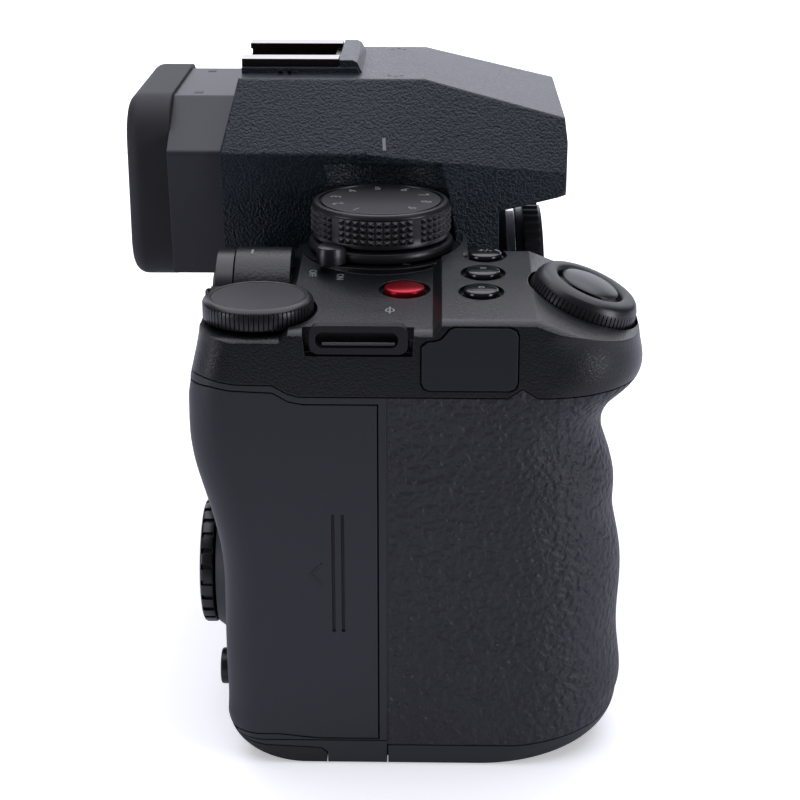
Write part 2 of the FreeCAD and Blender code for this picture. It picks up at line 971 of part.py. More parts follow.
focus_pocket = rod(focus_radius + 0.5, FAR, at(focus_x, focus_face_y - 0.25, focus_z), REAR)
stick_boss = rod(stick_well_radius + 1.6, 3.4, at(stick_x, rear_y - wall, stick_z), REAR)
rear_case = rear_case.fuse(stick_boss.common(box(-FAR, 0, 0, recess_x0 - 0.3, FAR, top_seam_z)))
rear_case = rear_case.cut(focus_pocket)
panel_controls = [
    ("back_button", back_button_x, back_button_z),
    ("play_button", play_button_x, play_button_z),
    ("quick_button", quick_button_x, quick_button_z),
]
for name, x, z in panel_controls:
    rear_case = rear_case.cut(rod(rear_button_radius + button_gap, FAR, at(x, 16.0, z), REAR))
wheel_boss = Part.makeCone(
    wheel_boss_radius,
    wheel_radius,
    wheel_front_y - move_gap - panel_y + 0.8,
    at(wheel_x, panel_y - 0.8, wheel_z),
    REAR,
)
wheel_hub = rod(
    wheel_bore - fit_gap,
    wheel_front_y + 0.8 - panel_y,
    at(wheel_x, panel_y - 0.8, wheel_z),
    REAR,
)
rear_case = rear_case.fuse(wheel_boss.fuse(wheel_hub).common(box(door_lip_x, 0, 0, FAR, FAR, FAR)))
rear_case = rear_case.cut(rod(set_radius + button_gap, FAR, at(wheel_x, 16.0, wheel_z), REAR))
stick_cup = rod(
    stick_well_radius + 1.0,
    stick_depth - wall,
    at(stick_x, rear_y - stick_depth, stick_z),
    REAR,
)
rear_case = rear_case.fuse(stick_cup.cut(recess))
rear_case = rear_case.cut(
    rod(stick_well_radius, FAR, at(stick_x, rear_y - stick_depth + 1.2, stick_z), REAR),
)
for low, high in ((upper_port_low_z, upper_port_high_z), (lower_port_low_z, lower_port_high_z)):
    seat = box(
        side_x - cover_depth - 0.2 - 1.4,
        port_front_y - 1.4,
        low - 1.4,
        side_x - 0.6,
        port_rear_y + 1.4,
        high + 1.4,
    )
    rear_case = rear_case.fuse(seat.common(inner_volume))
    rear_case = rear_case.cut(port_outline(low, high, 0.2))
    window = box(side_x - 8, port_front_y + 2.4, low + 2.4, side_x, port_rear_y - 2.4, high - 2.4)
    rear_case = rear_case.cut(window)
save("rear_case", rear_case)

# Top cover
top_cover = shell.common(top_zone)
seat = rod(mode_seat_radius, mode_seat_z - deck_z + 3.5, at(mode_x, mode_y, deck_z - 3.5))
top_cover = top_cover.fuse(seat)
focus_boss = rod(focus_radius + 0.4, 9.0, at(focus_x, focus_face_y - 0.25, focus_z), FRONT)
focus_boss = focus_boss.common(box(-FAR, -FAR, top_seam_z + 3.5, FAR, FAR, FAR))
top_cover = top_cover.fuse(focus_boss)
top_cover = top_cover.cut(rod(mode_seat_radius + 0.4, FAR, mode_centre))
top_cover = top_cover.cut(
    rod(rear_dial_radius + 0.5, FAR, at(rear_dial_x, rear_dial_y, rear_dial_low_z - 0.4)),
)
dial_floor = rod(rear_dial_radius + 0.4, 1.6, at(rear_dial_x, rear_dial_y, rear_dial_low_z - 2.0))
top_cover = top_cover.fuse(dial_floor.common(outer_volume))
nose_pocket = rod(front_dial_radius + 0.45, FAR, release_base - release_axis * 0.3, release_axis)
top_cover = top_cover.cut(nose_pocket)
nose_floor = rod(front_dial_radius + 0.4, 2.0, release_base - release_axis * 2.3, release_axis)
top_cover = top_cover.fuse(nose_floor.common(outer_volume))
hub_height = front_dial_height - 1.5
top_cover = top_cover.fuse(
    rod(front_dial_bore - fit_gap, hub_height + 1.2, release_base - release_axis * 1.2, release_axis),
)
release_stem = 2.4
top_cover = top_cover.cut(
    rod(release_stem + fit_gap, 30.0, release_top - release_axis * 20.0, release_axis),
)
top_cover = top_cover.cut(rod(2.0 + fit_gap, 12.0, at(rear_dial_x, rear_dial_y, rear_dial_low_z - 10)))
top_cover = top_cover.cut(rod(3.0 + fit_gap, 16.0, at(mode_x, mode_y, mode_seat_z - 14)))
top_cover = top_cover.cut(rod(3.0 + fit_gap, 12.0, at(drive_x, drive_y, deck_z - 10)))


def shoulder_at(x, height):
    return height + shoulder_slope * (x - grip_x)


top_buttons = []
for index in range(top_button_count):
    x = top_button_first_x - index * top_button_pitch
    y = top_button_y + index * top_button_row_turn
    top_buttons.append((x, y, shoulder_at(x, front_shoulder_z)))
for x, y, surface in top_buttons:
    well = rod(top_button_radius + well_margin, FAR, at(x, y, surface - well_depth))
    top_cover = top_cover.cut(
        well.fuse(rod(top_button_radius + button_gap, 14.0, at(x, y, surface - 12))),
    )
record_surface = shoulder_at(record_x, lug_shoulder_z)
record_well = rod(record_radius + well_margin, FAR, at(record_x, record_y, record_surface - well_depth))
record_hole = rod(record_radius + button_gap, 12.0, at(record_x, record_y, record_surface - 10))
top_cover = top_cover.cut(record_well.fuse(record_hole))
lug_pocket_depth = 2.4
lug_low_z = lug_z - lug_height / 2 - 0.3
lug_pocket = prism_x(
    [
        (lug_front_y - 0.7, lug_low_z),
        (lug_front_y - 0.9, lug_z + 1.4),
        (lug_front_y + 1.4, lug_z + 3.4),
        (lug_front_y + 1.4, FAR),
        (lug_rear_y - 1.6, FAR),
        (lug_rear_y - 1.6, lug_z + 3.4),
        (lug_rear_y + 1.1, lug_z + 1.4),
        (lug_rear_y + 0.7, lug_low_z),
    ],
    grip_x - 1,
    grip_x + lug_pocket_depth,
)
lug_backing = box(
    grip_x + lug_pocket_depth,
    lug_front_y - 3,
    lug_low_z - 2,
    grip_x + 6.0,
    lug_rear_y + 3,
    lug_shoulder_z,
)
lug_shelf = box(grip_x + 0.4, lug_front_y - 3, lug_low_z - 1.6, grip_x + 4.0, lug_rear_y + 3, lug_low_z)
top_cover = top_cover.fuse(lug_backing.fuse(lug_shelf).common(inner_volume)).cut(lug_pocket)
side_pocket = box(side_x - 1.8, lug_front_y - 0.8, 62.9, side_x + 2, lug_rear_y + 0.8, 68.7)
side_backing = box(side_x - 4.2, lug_front_y - 2.5, 62.2, side_x - 1.8, lug_rear_y + 2.5, 70.2)
top_cover = top_cover.fuse(side_backing.common(inner_volume)).cut(side_pocket)
remote_backing = box(
    grip_x + cover_depth,
    remote_front_y - 2,
    top_seam_z,
    grip_x + 4.4,
    remote_rear_y + 2,
    73.0,
)
top_cover = top_cover.fuse(remote_backing.common(inner_volume)).cut(remote_outline(0.2))
top_cover = top_cover.cut(rod(2.6, 8.0, at(grip_x + 5.4, -13.0, 68.0), at(-1, 0, 0)))
top_cover = top_cover.cut(focus_pocket)
top_cover = top_cover.cut(rod(focus_button_radius, 14.0, at(focus_x, focus_face_y + 3, focus_z), FRONT))
top_cover = top_cover.cut(hump_outer.cut(mode_recess)).cut(tunnel)
deck_window = box(-17.0, -6.0, deck_z - 6, 17.0, 20.0, deck_z + 1)
top_cover = top_cover.cut(deck_window)
door_top_zone = door_zone(door_gap).fuse(door_clearance())
top_cover = top_cover.cut(door_top_zone).cut(top_seam_groove)
save("top_cover", top_cover)

# Base plate with the battery opening
base_plate = shell.common(base_zone)
base_floor = box(-30.0, -12.0, base_low_z, 30.0, 20.0, base_low_z + wall)
base_plate = base_plate.fuse(base_floor)
door_x0 = battery_x0 - battery_door_margin
door_x1 = battery_x1 + battery_door_margin
door_y0 = battery_y0 - battery_door_margin
door_y1 = battery_y1 + battery_door_margin
hinge_reach = battery_hinge_radius + move_gap
opening = rounded_slab(
    door_x0 - move_gap,
    door_y0 - move_gap,
    base_low_z - 2,
    door_x1,
    door_y1 + move_gap,
    8,
    battery_door_corner,
    UP,
)
hinge_opening = box(
    door_x1 - 4.0,
    door_y0 - move_gap,
    base_low_z - 2,
    door_x1 + hinge_reach,
    door_y1 + move_gap,
    8,
)
base_plate = base_plate.cut(opening.fuse(hinge_opening))
base_plate = base_plate.cut(rod(bush_radius, FAR, at(0, 0, base_low_z - 1)))
base_plate = base_plate.cut(coupler_zone(0.2)).cut(base_seam_groove)
screw_spots = [(50.0, -8.0), (50.0, 16.0), (-30.0, -10.0), (-28.0, 17.0), (20.0, 17.5), (20.0, -10.5)]
for x, y in screw_spots:
    base_plate = base_plate.cut(rod(screw_head_radius + 0.1, screw_depth, at(x, y, base_low_z - 0.01)))
save("base_plate", base_plate)

screws = []
for x, y in screw_spots:
    head = rod(screw_head_radius, screw_depth - 0.2, at(x, y, base_low_z + 0.19))
    for long, wide in ((0.9, 0.25), (0.25, 0.9)):
        head = head.cut(box(x - long, y - wide, base_low_z, x + long, y + wide, base_low_z + 0.6))
    screws.append(head)
save("case_screws", Part.makeCompound(screws))

bush = tube(bush_radius, socket_radius, bush_depth, at(0, 0, base_low_z))
bush = bush.fuse(tube(bush_radius + 2, bush_radius - 0.5, 1.5, at(0, 0, base_low_z + wall)))
save("tripod_bush", bush)


# Covers that hinge or slide on the grip side
def card_door():
    skin = shell.common(door_zone(0.0))
    knuckles = []
    for low in (10.0, 46.0):
        sleeve = tube(
            door_knuckle_radius,
            door_pin_radius + fit_gap,
            door_knuckle_height,
            at(door_pivot_x, door_pivot_y, low),
        )
        web = box(
            grip_x + wall - 0.4,
            door_pivot_y - 1.0,
            low,
            door_pivot_x - 1.2,
            door_pivot_y + 1.0,
            low + door_knuckle_height,
        )
        knuckles.append(sleeve.fuse(web))
    door = join([skin] + knuckles)
    for y in groove_y:
        cut = box(
            grip_x - 1,
            y - groove_width / 2,
            groove_low_z,
            grip_x + groove_depth,
            y + groove_width / 2,
            groove_high_z,
        )
        door = door.cut(cut)
    return door


def card_door_arm():
    pin = rod(door_pin_radius, 53.0 - 10.0, at(door_pivot_x, door_pivot_y, 10.0))
    pieces = [pin]
    for low in (10.0 + door_knuckle_height + move_gap, 46.0 - door_knuckle_height - move_gap):
        pieces.append(rod(door_knuckle_radius, door_knuckle_height, at(door_pivot_x, door_pivot_y, low)))
        foot = box(
            door_pivot_x - 0.8,
            slot_block_y1 + 0.6,
            low,
            door_pivot_x + 1.0,
            door_pivot_y,
            low + door_knuckle_height,
        )
        pieces.append(foot)
    pieces.append(
        box(door_pivot_x - 0.8, slot_block_y1 + 0.3, 14.0, door_pivot_x + 7.0, slot_block_y1 + 1.3, 44.0),
    )
    return join(pieces)


save("card_door", card_door())
save("card_door_arm", card_door_arm())
coupler_cover = shell.common(coupler_zone(0.0)).cut(door_zone(door_gap))
save("coupler_cover", coupler_cover)
remote_face = remote_outline(0.0).common(box(grip_x - remote_proud, -FAR, 0, FAR, FAR, FAR))
save("remote_cover", remote_face)
for name, low, high in (
    ("upper_port_cover", upper_port_low_z, upper_port_high_z),
    ("lower_port_cover", lower_port_low_z, lower_port_high_z),
):
    save(name, outer_volume.common(port_outline(low, high, 0.0)))

# Battery door with its latch
hinge_line_x = door_x1
hinge_line_z = battery_door_low_z + battery_hinge_radius
door_slab = rounded_slab(
    door_x0,
    door_y0,
    battery_door_low_z,
    hinge_line_x,
    door_y1,
    battery_door_low_z + battery_door_thickness,
    battery_door_corner,
    UP,
)
door_slab = door_slab.common(box(-FAR, -FAR, -FAR, hinge_line_x - battery_door_corner - 0.1, FAR, FAR))
door_edge = box(
    hinge_line_x - battery_door_corner - 0.1,
    door_y0,
    battery_door_low_z,
    hinge_line_x,
    door_y1,
    battery_door_low_z + battery_door_thickness,
)
hinge_roll = rod(battery_hinge_radius, door_y1 - door_y0, at(hinge_line_x, door_y0, hinge_line_z), REAR)
battery_door = door_slab.fuse(door_edge).fuse(hinge_roll)
latch_x = door_x0 + 3.0
latch_y = (door_y0 + door_y1) / 2
latch_pocket = box(
    latch_x,
    latch_y - latch_width / 2,
    base_low_z - 1,
    latch_x + latch_length,
    latch_y + latch_width / 2,
    battery_door_low_z + 1.5,
)
battery_door = battery_door.cut(latch_pocket)
save("battery_door", battery_door)
latch_gap = 0.1
latch = box(
    latch_x + latch_gap,
    latch_y - latch_width / 2 + latch_gap,
    battery_door_low_z,
    latch_x + latch_length - latch_travel - latch_gap,
    latch_y + latch_width / 2 - latch_gap,
    battery_door_low_z + 1.5 - latch_gap,
)
for rib in range(3):
    x = latch_x + 1.6 + rib * 1.4
    latch = latch.cut(box(x, -FAR, base_low_z - 1, x + 0.5, FAR, battery_door_low_z + 0.4))
save("battery_latch", latch)
battery = box(battery_x0, battery_y0, battery_z0, battery_x1, battery_y1, battery_z1)
battery = round_edges(battery, 1.6, lambda e: runs_along(e, UP))
save("battery", battery)

# Accessory shoe
plate_top = shoe_floor_z + shoe_plate
shoe = box(-shoe_half, shoe_front_y, shoe_floor_z, shoe_half, shoe_rear_y, plate_top)
for side in (-1, 1):
    wall_in = side * (shoe_half - 1.0)
    wall_out = side * shoe_half
    shoe = shoe.fuse(
        box(
            min(wall_in, wall_out),
            shoe_front_y,
            shoe_floor_z,
            max(wall_in, wall_out),
            shoe_rear_y,
            shoe_top_z,
        ),
    )
    lip_in = side * shoe_slot_half
    shoe = shoe.fuse(
        box(
            min(lip_in, wall_out),
            shoe_front_y,
            shoe_top_z - shoe_lip,
            max(lip_in, wall_out),
            shoe_rear_y,
            shoe_top_z,
        ),
    )
shoe = shoe.fuse(
    box(-shoe_half, shoe_front_y, shoe_floor_z, shoe_half, shoe_front_y + 1.0, shoe_top_z - shoe_lip),
)
contact_spots = [(-3.0, 19.0), (3.0, 19.0), (0.0, 16.0), (-3.4, 24.0), (3.4, 24.0)]
for x, y in contact_spots:
    shoe = shoe.cut(rod(1.1, 3, at(x, y, shoe_floor_z - 1)))
save("accessory_shoe", shoe)
save(
    "shoe_contacts",
    Part.makeCompound([rod(0.95, shoe_plate + 0.1, at(x, y, shoe_floor_z)) for x, y in contact_spots]),
)


# Eyepiece block, glass and eyecup
def eyepiece_section(y, shrink):
    base = eyepiece_base_half - shrink
    crease = eyepiece_crease_half - shrink
    top = eyepiece_top_half - shrink * 0.6
    return hump_section(
        y,
        base,
        crease,
        hump_crease_z,
        top,
        eyepiece_top_z - shrink,
        eyepiece_base_z + shrink,
    )


eyepiece = Part.makeLoft(
    [eyepiece_section(hump_top_rear_y - 0.5, 0), eyepiece_section(eyepiece_rear_y, 0)],
    True,
    True,
).cut(hump_outer).cut(outer_volume)
lower_block = Part.makeLoft([eyepiece_section(rear_y, 0), eyepiece_section(eyepiece_rear_y, 0)], True, True)
lower_block = lower_block.common(box(-FAR, -FAR, 0, FAR, FAR, deck_z - 0.3)).cut(outer_volume)
eyepiece = eyepiece.fuse(lower_block)
eyepiece = round_edges(
    eyepiece,
    1.0,
    lambda e: runs_along(e, REAR) and e.CenterOfMass.z > hump_crease_z - 1 and e.Length > 7,
)
hollow = Part.makeLoft(
    [eyepiece_section(hump_rear_y - 1, wall), eyepiece_section(eyepiece_rear_y - wall, wall)],
    True,
    True,
)
hollow = hollow.common(box(-FAR, -FAR, eyepiece_axis_z - finder_lens_radius - 2.0, FAR, FAR, FAR))
low_window = eyepiece_axis_z - window_height / 2
high_window = eyepiece_axis_z + window_height / 2
window = rounded_slab(
    -window_half,
    eyepiece_rear_y - 4,
    low_window,
    window_half,
    eyepiece_rear_y + 1,
    high_window,
    3.0,
    REAR,
)
eyepiece = eyepiece.cut(hollow).cut(window)
lens_seat_y = eyepiece_rear_y - wall - 5.0
lens_cell = tube(
    finder_lens_radius + 1.4,
    finder_lens_radius,
    5.2,
    at(0, lens_seat_y, eyepiece_axis_z),
    REAR,
)
eyepiece = eyepiece.fuse(lens_cell)
diopter_y = 34.4
diopter_z = 79.0
diopter_radius = 4.2
diopter_hole = rod(2.0 + fit_gap, 12.0, at(eyepiece_base_half - 8, diopter_y, diopter_z), at(1, 0, 0))
eyepiece = eyepiece.cut(diopter_hole)
save("eyepiece_block", eyepiece)

lens_a = rod(
    finder_lens_radius - 0.05,
    finder_lens_thickness,
    at(0, lens_seat_y + 0.4, eyepiece_axis_z),
    REAR,
)
save("eyepiece_lens", lens_a)

cup = rounded_slab(
    -eyecup_half,
    eyepiece_rear_y + 0.05,
    eyecup_low_z,
    eyecup_half,
    eyecup_rear_y,
    eyecup_high_z,
    eyecup_corner,
    REAR,
)
cup = round_edges(cup, eyecup_round, lambda e: e.CenterOfMass.y > eyecup_rear_y - 0.01)
cup_hole = rounded_slab(
    -window_half - 0.6,
    eyepiece_rear_y - 1,
    low_window - 0.6,
    window_half + 0.6,
    eyecup_rear_y + 1,
    high_window + 0.6,
    3.4,
    REAR,
)
save("eyecup", cup.cut(cup_hole))

display = box(-9.0, 16.0, eyepiece_axis_z - 7.0, 9.0, 18.4, eyepiece_axis_z + 7.0)
post = box(-11.0, 18.7, deck_z, 11.0, 20.0, eyepiece_axis_z + 9.0)
display_window = box(-8.0, 18.0, eyepiece_axis_z - 6.0, 8.0, 21.0, eyepiece_axis_z + 6.0)
save(
    "finder_display",
    display.fuse(post.cut(display_window)).fuse(
        box(-9.0, 18.3, eyepiece_axis_z - 7.0, -8.2, 18.8, eyepiece_axis_z + 7.0),
    ),
)

diopter = toothed(
    diopter_radius,
    0.35,
    24,
    2.6,
    at(eyepiece_crease_half - 0.6, diopter_y, diopter_z),
    at(1, 0, 0),
)
diopter = diopter.fuse(rod(2.0, 6.0, at(eyepiece_crease_half - 6.6, diopter_y, diopter_z), at(1, 0, 0)))
save("diopter_dial", diopter)

# Lens mount, contacts, release and cap
mount = tube(mount_ring_radius, throat_radius, mount_claw_depth, at(0, mount_face_y, mount_z), REAR)
mount_back = tube(
    mount_ring_radius,
    mount_groove_radius,
    mount_ring_depth - mount_claw_depth,
    at(0, mount_face_y + mount_claw_depth, mount_z),
    REAR,
)
mount = mount.fuse(mount_back)


def sector(inner, outer, angle, span, y0, y1):
    half = math.radians(span / 2)
    turn = math.radians(angle)
    points = []
    for radius, order in ((inner, (-1, 0, 1)), (outer, (1, 0, -1))):
        for side in order:
            a = turn + side * half
            points.append((radius * math.cos(a), mount_z + radius * math.sin(a)))
    wedge = prism_y(
        [(0, mount_z)] + [(p[0] * 3, mount_z + (p[1] - mount_z) * 3) for p in points[3:]],
        y0,
        y1,
    )
    band = tube(outer, inner, y1 - y0, at(0, y0, mount_z), REAR)
    return band.common(wedge)


for claw in range(mount_claws):
    angle = 90.0 + claw * 360.0 / mount_claws
    notch = sector(
        throat_radius - 1,
        mount_groove_radius,
        angle,
        mount_notch_angle,
        mount_face_y - 1,
        mount_face_y + mount_claw_depth,
    )
    mount = mount.cut(notch)
mount = mount.cut(pin_hole)
save("lens_mount", mount)

ring_seat_y = mount_face_y + mount_ring_depth
contact_block = sector(
    throat_radius - 3.4,
    tunnel_radius - 0.05,
    -90.0,
    52.0,
    ring_seat_y + 0.4,
    ring_seat_y + 3.4,
)
pins = []
for index in range(10):
    angle = math.radians(-90 + (index - 4.5) * 4.6)
    spot = at(
        (throat_radius - 1.8) * math.cos(angle),
        ring_seat_y,
        mount_z + (throat_radius - 1.8) * math.sin(angle),
    )
    pins.append(rod(0.5, 0.6, spot, REAR))
save("mount_contacts", join([contact_block] + pins))

lens_button = rod(lens_button_radius, 5.0, release_button_centre + at(0, 1.6, 0), FRONT)
lens_button = round_edges(lens_button, 0.5, lambda e: e.CenterOfMass.y < front_y - 3)
save("lens_button", lens_button)
lock_pin = rod(
    lock_radius,
    mount_ring_depth + 2.0,
    at(pin_x, mount_face_y + mount_ring_depth + 1.9, pin_z),
    FRONT,
)
save("lock_pin", lock_pin)

cap_face_y = mount_face_y - cap_gap
cap = rod(cap_radius - 0.9, cap_thickness, at(0, cap_face_y, mount_z), FRONT)
cap = cap.fuse(
    toothed(
        cap_radius,
        0.5,
        cap_ribs,
        cap_thickness - cap_rib_start - 0.6,
        at(0, cap_face_y - cap_rib_start, mount_z),
        FRONT,
    ),
)
cap = cap.cut(rod(cap_radius - 4.0, 1.2, at(0, cap_face_y - cap_thickness + 1.2, mount_z), FRONT))
skirt = tube(
    throat_radius - 0.4,
    throat_radius - 0.4 - cap_wall,
    cap_skirt,
    at(0, cap_face_y - 0.2, mount_z),
    REAR,
)
cap = cap.fuse(skirt)
lug_y0 = mount_face_y + mount_claw_depth + 0.3
for claw in range(mount_claws):
    angle = 90.0 + claw * 360.0 / mount_claws
    cap = cap.fuse(
        sector(throat_radius - 1.5, mount_groove_radius - 0.6, angle, cap_lug_angle, lug_y0, lug_y0 + 1.1),
    )
save("body_cap", cap)


# Dials and levers on the top
def dial_profile(points, base, axis=UP):
    outline = [at(r, 0, z) for r, z in points]
    outline.append(outline[0])
    turned = Part.Face(Part.makePolygon(outline)).revolve(at(0, 0, 0), UP, 360)
    turned.Placement = FreeCAD.Placement(base, FreeCAD.Rotation(UP, axis))
    return turned


mode_low = mode_seat_z + lever_thickness + 2 * move_gap
mode_dial = toothed(mode_radius, 0.45, mode_teeth, mode_high_z - mode_low, at(mode_x, mode_y, mode_low))
mode_dial = mode_dial.fuse(dial_profile(
    [
        (0, mode_high_z - 1),
        (mode_radius - 0.5, mode_high_z - 1),
        (mode_radius - 0.4, mode_high_z),
        (mode_face_radius, mode_top_z),
        (0, mode_top_z),
    ],
    at(mode_x, mode_y, 0),
))
mode_dial = mode_dial.fuse(rod(3.0, mode_low - mode_seat_z + 6.0, at(mode_x, mode_y, mode_seat_z - 6.0)))
save("mode_dial", mode_dial)

lever_low = mode_seat_z + move_gap
lever = rod(lever_radius, lever_thickness, at(mode_x, mode_y, lever_low))
tab = box(0, -2.6, 0, lever_tab_reach, 2.6, lever_thickness + 1.2)
tab = round_edges(tab, 1.4, lambda e: runs_along(e, UP) and e.CenterOfMass.x > 1)
tab = tab.cut(rod(mode_radius + 0.35, 4.0, at(0, 0, lever_thickness + 0.05)))
tab.Placement = FreeCAD.Placement(at(mode_x, mode_y, lever_low), FreeCAD.Rotation(UP, lever_tab_angle))
lever = lever.fuse(tab).cut(rod(3.0 + fit_gap, 6.0, at(mode_x, mode_y, lever_low - 1)))
save("power_lever", lever)

rear_dial = toothed(
    rear_dial_radius,
    0.3,
    rear_dial_teeth,
    rear_dial_top_z - 0.5 - rear_dial_low_z,
    at(rear_dial_x, rear_dial_y, rear_dial_low_z),
)
rear_dial = rear_dial.fuse(dial_profile(
    [
        (0, rear_dial_top_z - 1.5),
        (rear_dial_radius - 0.35, rear_dial_top_z - 1.5),
        (rear_dial_radius - 0.35, rear_dial_top_z - 0.45),
        (rear_dial_radius - 0.85, rear_dial_top_z),
        (0, rear_dial_top_z),
    ],
    at(rear_dial_x, rear_dial_y, 0),
))
rear_dial = rear_dial.fuse(rod(2.0, 5.2, at(rear_dial_x, rear_dial_y, rear_dial_low_z - 5.0)))
save("rear_dial", rear_dial)

front_dial_low = 0.1
front_dial_grip = front_dial_height - 1.3
front_dial = toothed(
    front_dial_radius,
    0.4,
    front_dial_teeth,
    front_dial_grip - front_dial_low,
    release_base + release_axis * front_dial_low,
    release_axis,
)
front_dial = front_dial.common(dial_profile(
    [
        (0, 0),
        (front_dial_radius, 0),
        (front_dial_radius, 1.2),
        (front_dial_rim + 0.15, front_dial_grip),
        (0, front_dial_grip),
    ],
    release_base,
    release_axis,
))
front_dial = front_dial.fuse(dial_profile(
    [
        (0, front_dial_grip - 0.5),
        (front_dial_rim - 0.2, front_dial_grip - 0.5),
        (front_dial_rim - 0.2, front_dial_height - 0.8),
        (front_dial_rim - 0.9, front_dial_height),
        (front_dial_bore + 1.2, front_dial_height),
        (front_dial_bore + 0.2, front_dial_height - 0.7),
        (0, front_dial_height - 0.7),
    ],
    release_base,
    release_axis,
))
front_dial = front_dial.cut(rod(front_dial_bore, 12.0, release_base - release_axis, release_axis))
save("front_dial", front_dial)

button_low = hub_height + release_travel + 0.15
shutter_button = dial_profile(
    [
        (0, -6.0),
        (release_stem, -6.0),
        (release_stem, button_low),
        (release_radius, button_low),
        (release_radius, front_dial_height - 0.45),
        (release_radius - 0.5, front_dial_height),
        (release_radius - 1.7, front_dial_height + 0.4),
        (0, front_dial_height + 0.65),
    ],
    release_base,
    release_axis,
)
save("shutter_button", shutter_button)

drive_dial = toothed(
    drive_radius,
    0.45,
    drive_teeth,
    drive_height - 1.2,
    at(drive_x, drive_y, deck_z + 0.35),
)
drive_dial = drive_dial.fuse(dial_profile(
    [
        (0, deck_z + drive_height - 1.5),
        (drive_radius - 0.5, deck_z + drive_height - 1.5),
        (drive_radius - 0.5, deck_z + drive_height - 0.7),
        (drive_radius - 1.1, deck_z + drive_height),
        (0, deck_z + drive_height),
    ],
    at(drive_x, drive_y, 0),
))
drive_dial = drive_dial.fuse(rod(3.0, 6.5, at(drive_x, drive_y, deck_z - 6.0)))
save("drive_dial", drive_dial)


# Push buttons, each with a stem below its cap
def push_button(base, axis, radius, proud, stem):
    cap = rod(radius, stem + proud, base - axis * stem, axis)
    tip = base + axis * proud
    cap = round_edges(cap, 0.35, lambda e: (e.CenterOfMass - tip).Length < 0.05)
    return cap


for index, (x, y, surface) in enumerate(top_buttons):
    button = push_button(at(x, y, surface), UP, top_button_radius, top_button_proud, 4.0)
    save("top_button_" + str(index + 1), button)
save(
    "record_button",
    push_button(at(record_x, record_y, record_surface), UP, record_radius, record_proud, 4.0),
)
for name, x, z in panel_controls:
    proud = rear_button_rear_y - panel_y
    save(name, push_button(at(x, panel_y, z), REAR, rear_button_radius, proud, 5.0))
focus_lever = tube(focus_radius, focus_button_radius + 0.3, focus_thickness, focus_centre, REAR)
fin = box(-focus_radius, 0, -1.1, -focus_button_radius - 0.6, focus_thickness + focus_fin, 1.1)
fin = round_edges(fin, 0.7, lambda e: e.CenterOfMass.y > focus_thickness + focus_fin - 0.01)
fin.Placement = FreeCAD.Placement(focus_centre, FreeCAD.Rotation(REAR, 20))
focus_lever = focus_lever.fuse(fin.common(rod(focus_radius, 20, focus_centre, REAR)))
save("focus_lever", focus_lever)
save(
    "focus_button",
    push_button(focus_centre + at(0, focus_thickness - 1.0, 0), REAR, focus_button_radius - 0.2, 1.8, 6.0),
)

# Control wheel and stick
wheel = toothed(
    wheel_radius,
    0.5,
    wheel_teeth,
    wheel_rear_y - wheel_front_y - 0.4,
    at(wheel_x, wheel_front_y, wheel_z),
    REAR,
)
wheel = wheel.fuse(
    rod(wheel_radius - 0.8, wheel_rear_y - wheel_front_y, at(wheel_x, wheel_front_y, wheel_z), REAR),
)
wheel = wheel.cut(rod(wheel_bore, 20, at(wheel_x, wheel_front_y - 2, wheel_z), REAR))
dish = rod(wheel_radius - 2.4, 2.0, at(wheel_x, wheel_rear_y - 1.2, wheel_z), REAR)
wheel = wheel.cut(dish)
save("control_wheel", wheel)
save("set_button", push_button(at(wheel_x, wheel_rear_y - 2.4, wheel_z), REAR, set_radius, 1.6, 7.0))

gimbal_y = rear_y - stick_depth + 1.2 + stick_ball + move_gap
gimbal = tube(
    stick_well_radius - 0.3,
    stick_ball + fit_gap,
    2.0,
    at(stick_x, gimbal_y - 1.0, stick_z),
    REAR,
)
save("stick_gimbal", gimbal)
stick = rod(1.6, stick_rear_y - 1.4 - gimbal_y + 1.2, at(stick_x, gimbal_y - 1.2, stick_z), REAR)
stick = stick.fuse(rod(stick_radius, 2.0, at(stick_x, stick_rear_y - 2.0, stick_z), REAR))
stick = stick.fuse(Part.makeSphere(stick_ball, at(stick_x, gimbal_y, stick_z)))
save("joystick", stick)

# Monitor on its side hinge
monitor = box(
    monitor_left_x,
    monitor_front_y,
    monitor_low_z,
    monitor_right_x,
    monitor_rear_y,
    monitor_high_z,
)
monitor = round_edges(monitor, monitor_corner, lambda e: runs_along(e, REAR))
monitor = round_edges(monitor, 0.7, lambda e: e.CenterOfMass.y > monitor_rear_y - 0.01)
screen = box(
    monitor_left_x + screen_border,
    monitor_rear_y - screen_depth,
    monitor_low_z + screen_border,
    monitor_right_x - screen_border,
    FAR,
    monitor_high_z - screen_border,
)
monitor = monitor.cut(screen)
save("monitor_shell", monitor)
glass = box(
    monitor_left_x + screen_border,
    monitor_rear_y - screen_depth,
    monitor_low_z + screen_border,
    monitor_right_x - screen_border,
    monitor_rear_y - 0.05,
    monitor_high_z - screen_border,
)
save("monitor_glass", glass)
knuckle_low = hinge_low_z + move_gap
knuckle_high = hinge_high_z - move_gap
arm = rod(hinge_radius - 0.1, knuckle_high - knuckle_low, at(hinge_x, hinge_y, knuckle_low))
arm = arm.fuse(box(monitor_right_x, hinge_y - 2.2, knuckle_low, hinge_x, hinge_y + 2.4, knuckle_high))
arm = arm.fuse(
    rod(hinge_pin_radius, knuckle_high - knuckle_low + 5.6, at(hinge_x, hinge_y, knuckle_low - 2.8)),
)
save("monitor_arm", arm)


